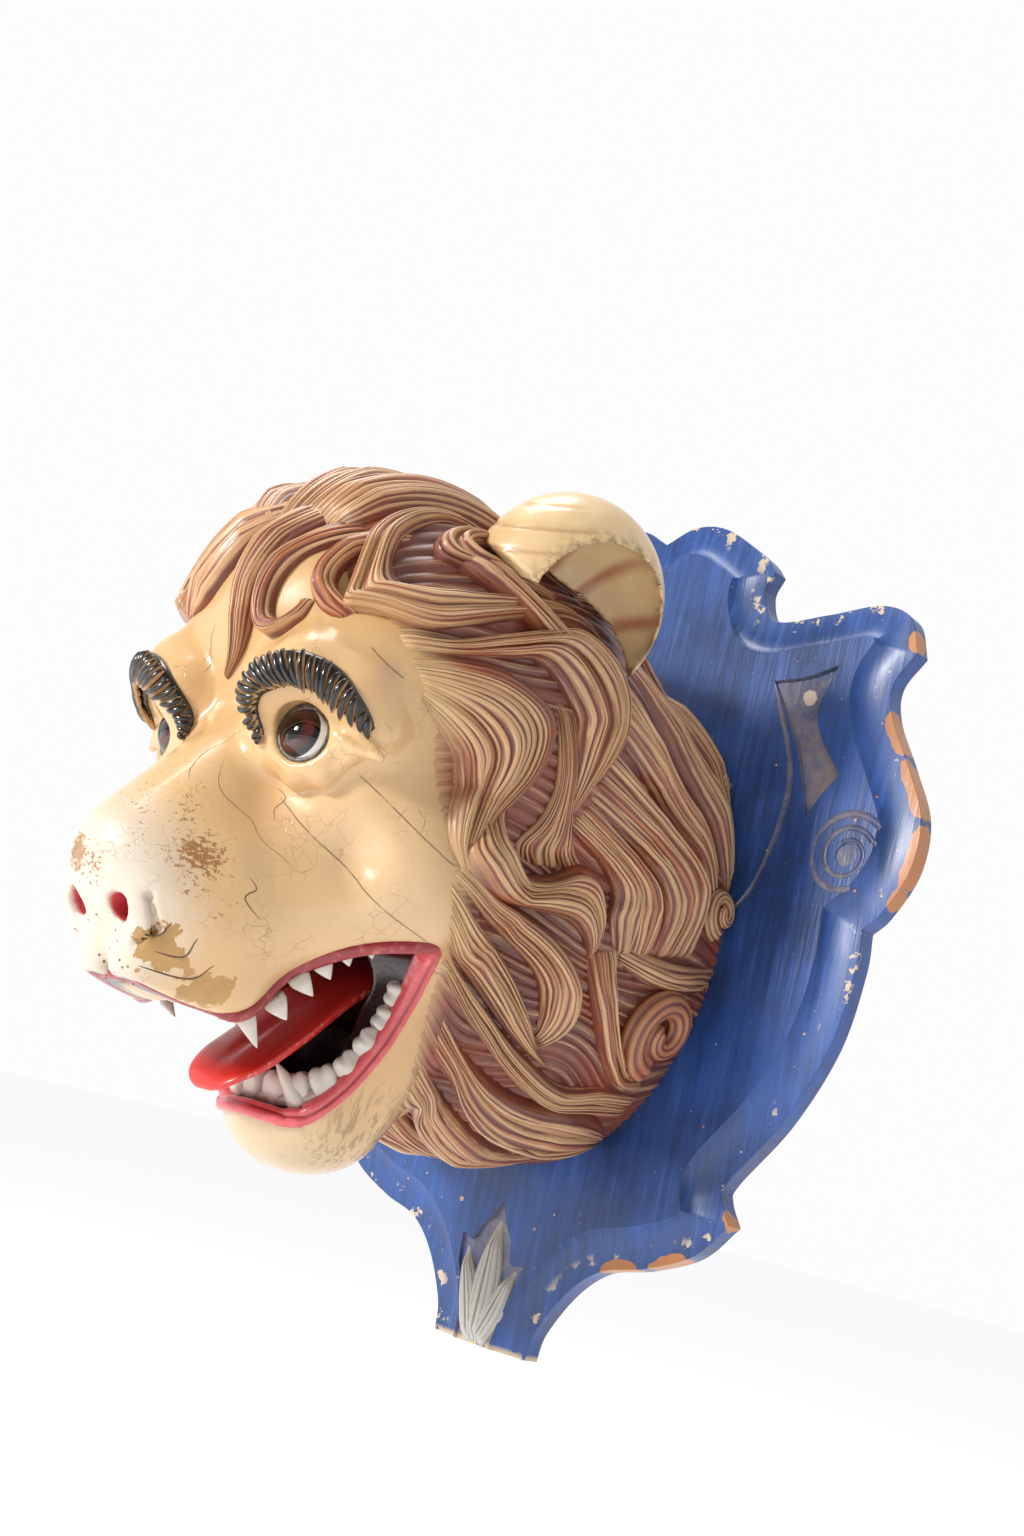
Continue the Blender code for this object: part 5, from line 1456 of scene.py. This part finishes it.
def ear_paint():
    """The face's cream on the ears, rubbed with orange in the grooves and at the foot and browned
    along the rim"""
    made, tree, at = fresh("ear cream paint")
    fan, foot, rim, stroke = (add_node(tree, "Attribute", out="Fac", attribute_name=name)
                              for name in ("fan", "foot", "rim", "stroke"))
    fine = add_node(tree, "TexNoise", {"Vector": at, "Scale": 110.0, "Detail": 4.0, "Roughness": 0.6}, 0)
    cloud = add_node(tree, "TexNoise", {"Vector": at, "Scale": 24.0, "Detail": 4.0, "Roughness": 0.55}, 0)
    base = coat(tree, linear("#d9be90"), cloud, 0.38, 0.65, "#cda876")
    warm = add_node(tree, "Math", {0: fine, 1: 0.5, 2: foot}, 0, operation="MULTIPLY_ADD")
    base = coat(tree, base, warm, 0.5, 1.2, "#b9744a", most=0.8)
    base = coat(tree, base, fan, 0, 1, "#a05a3a", most=0.8)
    base = coat(tree, base, stroke, 0, 1, "#9a7048", most=0.5)
    base = coat(tree, base, rim, 0, 1, "#6b4c2c",
                most=add_node(tree, "MapRange", {0: fine, 1: 0.42, 2: 0.60, 4: 0.8}, 0))
    return finish(made, base, {"Roughness": 0.34, "Coat Weight": 0.3}, (fine, 0.4, 0.0005))


def lip_paint(paints):
    """Red oil paint on the lips: dark above, pink-red below with the deeper red lying in the fold"""
    made, tree, at = fresh("lip red paint")
    below, fold = (add_node(tree, "Attribute", out="Fac", attribute_name=name)
                   for name in ("below", "fold"))
    fine = add_node(tree, "TexNoise", {"Vector": at, "Scale": 150.0, "Detail": 4.0, "Roughness": 0.65}, 0)
    base = coat(tree, paints.lip, below, 0.3, 0.8, paints.gum)
    base = coat(tree, base, fine, 0.52, 0.72, "#d9827c", most=0.55)
    base = coat(tree, base, fold, 0, 1, "#8c2a2a", most=0.85)
    return finish(made, base, {"Roughness": 0.3, "Coat Weight": 0.3}, (fine, 0.35, 0.0004))


# Where the board's paint is worn to the wood: place on the drawn board and reach
WORN = (((243, 480), 26), ((262, 440), 34), ((274, 392), 34), ((272, 358), 20), ((199, 130), 22),
        ((150, 88), 26), ((110, 78), 24), ((242, 548), 14))
# The chipped nail in the kite, two nail holes in the lower hollow and one chip: place, reach and colour
NAILS = (((170, 504), 7.0, "#cbb8a5"), ((171, 505), 3.6, "#8a5c44"), ((171, 147), 1.5, "#1a1410"),
         ((178, 144), 1.5, "#1a1410"), ((-41, 97), 1.8, "#c49a6a"))


def blue_paint(paints, dusty):
    """Cobalt oil paint brushed on softwood: streaked, flecked with tan, dusty in what is sunk, chipped
    along the edge and worn to orange wood on the right edge, the lower corner and the tip"""
    made, tree, at = fresh("dusty cobalt paint" if dusty else "brushed cobalt paint")
    # Brush streaks 3 mm wide and 60 mm long, leaning a little, then clouds of 65, 6 and 18 mm
    long = add_node(tree, "Mapping", {"Vector": at, "Scale": (210.0, 60.0, 13.0),
                                      "Rotation": (0, 0.28, 0)}, 0)
    streak, cloud, fine, torn = (
        add_node(tree, "TexNoise", {"Vector": way, "Scale": scale, "Detail": detail, "Roughness": rough}, 0)
        for way, scale, detail, rough in ((long, 1.0, 5.0, 0.6), (at, 15.0, 4.0, 0.55),
                                          (at, 170.0, 4.0, 0.7), (at, 55.0, 3.0, 0.55)))
    both = add_node(tree, "Math", {0: streak, 1: 0.8, 2: cloud}, 0, operation="MULTIPLY_ADD")
    base = coat(tree, paints.deep_blue, both, 0.72, 1.10, paints.blue)
    base = coat(tree, base, streak, 0.60, 0.74, "#4a63a0", most=0.5)
    if dusty:
        dust = add_node(tree, "Math", {0: fine, 1: 0.5, 2: cloud}, 0, operation="MULTIPLY_ADD")
        base = coat(tree, base, dust, 0.62, 0.92, paints.dust, 0.12, 0.75)
    # Flecks of a millimetre, tan and orange
    for scale, bar, code in ((70.0, 0.075, "#b79f86"), (45.0, 0.05, "#b97a4e"), (120.0, 0.06, "#8f93a8")):
        spot = add_node(tree, "TexVoronoi", {"Vector": at, "Scale": scale}, 0)
        some = add_node(tree, "TexNoise", {"Vector": at, "Scale": scale * 0.6, "Detail": 4.0,
                                           "Roughness": 0.55}, 0)
        base = coat(tree, base, spot, bar, bar * 0.7, code,
                    most=add_node(tree, "MapRange", {0: some, 1: 0.50, 2: 0.56}, 0))
    _, depth, up = add_node(tree, "SeparateXYZ", {0: at}).outputs
    # The side face and its front arris, 15 mm from the wall
    edge = add_node(tree, "MapRange", {0: depth, 1: -0.0156, 2: -0.0150}, 0)
    arris = add_node(tree, "MapRange", {0: depth, 1: -0.0120, 2: -0.0138}, 0)
    arris = add_node(tree, "MapRange", {0: depth, 1: -0.0164, 2: -0.0152, 4: arris}, 0)
    ragged = add_node(tree, "Math", {0: fine, 1: 0.4, 2: torn}, 0, operation="MULTIPLY_ADD")
    base = coat(tree, base, ragged, 0.81, 0.84, "#c4b295", most=arris)
    for spot, reach in WORN:
        here = nearness(tree, at, board_place(*spot, -0.010), reach * 0.4, reach, edge)
        bare = add_node(tree, "Math", {0: ragged, 1: 0.9, 2: here}, 0, operation="MULTIPLY_ADD")
        base = coat(tree, base, bare, 1.13, 1.17, paints.bare_wood)
    tip = add_node(tree, "MapRange", {0: up, 1: BOARD_LOW.z + 0.0045, 2: BOARD_LOW.z + 0.0015}, 0)
    base = coat(tree, base, ragged, 0.62, 0.68, "#bda98a", most=tip)
    # The plain back of the plank
    base = coat(tree, base, depth, -0.0006, -0.0002, "#a8794b")
    for spot, reach, code in NAILS:
        away = add_node(tree, "VectorMath", {0: at, 1: tuple(map(float, board_place(*spot, FIELD_Y)))}, 1,
                        operation="DISTANCE")
        away = add_node(tree, "Math", {0: fine, 1: reach * 0.9 * UNIT, 2: away}, 0, operation="MULTIPLY_ADD")
        base = coat(tree, base, away, reach * 1.48 * UNIT, reach * 1.42 * UNIT, code)
    rough = add_node(tree, "MapRange", {0: both, 1: 0.7, 2: 1.1, 3: 0.30, 4: 0.44}, 0)
    return finish(made, base, {"Roughness": rough, "Coat Weight": 0.1, "Coat Roughness": 0.2},
                  (streak, 0.5, 0.0008))


def plain_paint(name, first, second, roughness, scale):
    """Oil paint of two close tones in clouds, with brush marks in its gloss"""
    made, tree, at = fresh(name)
    cloud = add_node(tree, "TexNoise", {"Vector": at, "Scale": scale, "Detail": 5.0, "Roughness": 0.65}, 0)
    base = coat(tree, linear(first), cloud, 0.35, 0.65, second)
    return finish(made, base, {"Roughness": roughness}, (cloud, 0.3, 0.0004))


def marked_paint(name, mark, low, high, first, second, roughness, varnish=0.0):
    """Oil paint whose two colours are parted by a mark on the piece, broken up by 2 mm brush work"""
    made, tree, at = fresh(name)
    cloud = add_node(tree, "TexNoise", {"Vector": at, "Scale": 260.0, "Detail": 3.0}, 0)
    carried = add_node(tree, "Attribute", out="Fac", attribute_name=mark)
    both = add_node(tree, "Math", {0: cloud, 1: 0.35, 2: carried}, 0, operation="MULTIPLY_ADD")
    base = coat(tree, first, both, low, high, second)
    return finish(made, base, {"Roughness": roughness, "Coat Weight": varnish}, (cloud, 0.3, 0.0003))


def eye_glass():
    """Blown glass painted behind: black round the iris, red-brown within, white beyond, very glossy"""
    made, tree, at = fresh("painted eye glass")
    angle = add_node(tree, "Attribute", out="Fac", attribute_name="angle")
    cloud = add_node(tree, "TexNoise", {"Vector": at, "Scale": 110.0, "Detail": 2.0}, 0)
    iris = coat(tree, linear("#120807"), cloud, 0, 1, "#5e2018")
    base = coat(tree, linear("#0a0605"), angle, 20.0, 26.0, iris)
    base = coat(tree, base, angle, 42.0, 46.0, "#0b0a0a")
    base = coat(tree, base, angle, 54.0, 56.0, "#d9d3cb")
    return finish(made, base, {"Roughness": 0.06, "Coat Weight": 0.6})


def floor_plaster(backdrop):
    """Matt white plaster, so the shadow on it stays soft, with a little light of its own, as a lit
    studio floor has, which lets it run into the room"""
    made = fresh("matt white plaster")[0]
    return finish(made, backdrop, {"Roughness": 0.9, "Emission Color": backdrop,
                                   "Emission Strength": 0.4})


# Each light: where it stands from the head's middle, how far off, how wide and its share of the key's power
LIGHTS = {"key": ((-0.16, -0.86, 0.22), 2.4, 0.34, 1.0), "top": ((-0.2, -0.15, 1.0), 2.0, 1.0, 0.5),
          "side_fill": ((-0.9, -0.6, 0.1), 2.2, 1.6, 0.14)}
HEAD_MIDDLE = Vector((0.0, -0.2, -0.08))
FLOOR_REACH, FLOOR_DROP = 14.0, 0.35
# Where the photograph was taken from, and its right, up and backward directions
CAMERA_PLACE = (0.8431, -1.0162, -0.3063)
CAMERA_WAYS = ((0.7387, 0.631, 0.237), (-0.0349, -0.3153, 0.9483), (0.6732, -0.7088, -0.2109))


def make_stage(settings):
    """Floor, room, lights and the camera at the photograph's angle"""
    mesh = bpy.data.meshes.new("floor")
    mesh.from_pydata([(a * FLOOR_REACH, b * FLOOR_REACH, BOARD_LOW.z - FLOOR_DROP) for a, b in (
        (-1, -1), (1, -1), (1, 1), (-1, 1))], [], [(0, 1, 2, 3)])
    floor = linked("floor", mesh)
    floor.data.materials.append(floor_plaster(settings.backdrop))
    world = bpy.data.worlds.new("pale room")
    bpy.context.scene.world = world
    world.use_nodes = True
    # The room is bright behind the wall side and dimmer in front, so the carving keeps its shadows
    tree = world.node_tree
    depth = add_node(tree, "SeparateXYZ", {0: add_node(tree, "TexCoord").outputs["Generated"]}, 1)
    strength = add_node(tree, "MapRange", {0: depth, 1: -0.15, 2: 0.25, 3: settings.room * 0.32,
                                           4: settings.room}, 0)
    fill(tree, tree.nodes["Background"], {"Color": settings.backdrop, "Strength": strength})
    bpy.context.scene.view_settings.view_transform = "Standard"
    for name, (way, reach, size, share) in LIGHTS.items():
        light = bpy.data.lights.new(name, "AREA")
        light.energy, light.size = settings.key * share, size
        item = linked(name, light)
        way = Vector(way).normalized()
        item.location = HEAD_MIDDLE + way * reach
        item.rotation_euler = (-way).to_track_quat("-Z", "Y").to_euler()
    camera = linked("camera", bpy.data.cameras.new("camera"))
    camera.data.sensor_width = 36.0
    camera.data.lens = settings.lens
    camera.matrix_world = Matrix.Translation(CAMERA_PLACE) @ Matrix(CAMERA_WAYS).transposed().to_4x4()
    bpy.context.scene.camera = camera


class BuildBoard(bpy.types.Operator):
    """Carve the shield board with its hollow edge, kites and scrolls"""
    bl_idname = "lion_mask.board"
    bl_label = "Shield board"

    def execute(self, context):
        paints = context.scene.lion_paint
        make_board(blue_paint(paints, False), blue_paint(paints, True), context.scene.lion_board)
        return {"FINISHED"}


class BuildLeaf(bpy.types.Operator):
    """Carve the silver leaf at the board's tip"""
    bl_idname = "lion_mask.leaf"
    bl_label = "Tip leaf"

    def execute(self, context):
        silver = context.scene.lion_paint.silver
        make_leaf(marked_paint("silver leaf paint", "groove", 0.55, 1.2, silver, "#6d6d6c", 0.35))
        return {"FINISHED"}


class BuildFace(bpy.types.Operator):
    """Carve the face and jaws"""
    bl_idname = "lion_mask.face"
    bl_label = "Face and jaws"

    def execute(self, context):
        make_face(cream_paint(context.scene.lion_paint), context.scene.lion_head)
        make_cracks(plain_paint("crack dirt", "#4a3628", "#6d5038", 0.6, 200.0))
        return {"FINISHED"}


class BuildLips(bpy.types.Operator):
    """Lay the painted lips round the mouth"""
    bl_idname = "lion_mask.lips"
    bl_label = "Lips"

    def execute(self, context):
        make_lips(lip_paint(context.scene.lion_paint))
        return {"FINISHED"}


class BuildMane(bpy.types.Operator):
    """Carve the mane: the layer under it, the locks, the curls and the forelock"""
    bl_idname = "lion_mask.mane"
    bl_label = "Mane"

    def execute(self, context):
        paint = mane_paint(context.scene.lion_paint)
        make_mane_base(paint, context.scene.lion_head)
        make_locks(paint, context.scene.lion_head)
        return {"FINISHED"}


class BuildBrows(bpy.types.Operator):
    """Carve the tufted brows"""
    bl_idname = "lion_mask.brows"
    bl_label = "Brows"

    def execute(self, context):
        paint = marked_paint("brow black paint", "stroke", 0.56, 0.94, linear("#b98f5c"), "#120e0c",
                             0.26, 0.4)
        make_brows(paint)
        return {"FINISHED"}


class BuildEyes(bpy.types.Operator):
    """Set the glass eyes in their painted rims"""
    bl_idname = "lion_mask.eyes"
    bl_label = "Eyes"

    def execute(self, context):
        rim = plain_paint("lid grey paint", "#221e1b", "#7d6c58", 0.35, 260.0)
        make_eyes(eye_glass(), rim, context.scene.lion_head)
        return {"FINISHED"}


class BuildEars(bpy.types.Operator):
    """Carve the hollow ears"""
    bl_idname = "lion_mask.ears"
    bl_label = "Ears"

    def execute(self, context):
        make_ears(ear_paint(), context.scene.lion_head)
        return {"FINISHED"}


class BuildTeeth(bpy.types.Operator):
    """Set the upper teeth and carve the lower row"""
    bl_idname = "lion_mask.teeth"
    bl_label = "Teeth"

    def execute(self, context):
        tooth = context.scene.lion_paint.tooth
        # Grey-brown low on each tooth and white above: painted shade at the roots and under the lower teeth,
        # where they meet the gum and each other
        paint = marked_paint("tooth white paint", "height", 0.0, 0.5, linear("#a79a8c"), tooth,
                             0.3, 0.3)
        make_upper_teeth(paint)
        make_lower_teeth(paint)
        return {"FINISHED"}


class BuildTongue(bpy.types.Operator):
    """Carve the tongue slab"""
    bl_idname = "lion_mask.tongue"
    bl_label = "Tongue"

    def execute(self, context):
        tongue = context.scene.lion_paint.tongue
        # Pale pink in patches on the rounded side edges: partly worn paint, partly a painted highlight
        make_tongue(marked_paint("tongue red paint", "edge", 1.19, 1.25, tongue, "#d8927e", 0.3, 0.3))
        return {"FINISHED"}


class BuildStage(bpy.types.Operator):
    """Set the floor, the lights and the camera"""
    bl_idname = "lion_mask.stage"
    bl_label = "Stage"

    def execute(self, context):
        make_stage(context.scene.lion_stage)
        return {"FINISHED"}


STEPS = (BuildBoard, BuildLeaf, BuildFace, BuildLips, BuildMane, BuildBrows, BuildEyes, BuildEars,
         BuildTeeth, BuildTongue, BuildStage)
SETTINGS = (("lion_board", LionBoardSettings), ("lion_head", LionHeadSettings),
            ("lion_paint", LionPaintSettings), ("lion_stage", LionStageSettings))


class LionMaskPanel(bpy.types.Panel):
    """Settings and building steps of the lion mask"""
    bl_idname = "VIEW3D_PT_lion_mask"
    bl_label = "Lion mask"
    bl_space_type = "VIEW_3D"
    bl_region_type = "UI"
    bl_category = "Lion mask"

    def draw(self, context):
        for key, group in SETTINGS:
            box = self.layout.box()
            for name in group.__annotations__:
                box.prop(getattr(context.scene, key), name)
        for step in STEPS:
            self.layout.operator(step.bl_idname)


def register():
    for item in tuple(group for _, group in SETTINGS) + STEPS + (LionMaskPanel,):
        bpy.utils.register_class(item)
    for key, group in SETTINGS:
        setattr(bpy.types.Scene, key, bpy.props.PointerProperty(type=group))


def unregister():
    for key, _ in SETTINGS:
        delattr(bpy.types.Scene, key)
    for item in (LionMaskPanel,) + STEPS + tuple(group for _, group in SETTINGS):
        bpy.utils.unregister_class(item)


def main():
    """Builds every piece in order"""
    register()
    for step in STEPS:
        getattr(bpy.ops.lion_mask, step.bl_idname.split(".")[1])()
    bpy.context.view_layer.update()


if __name__ == "__main__":
    main()
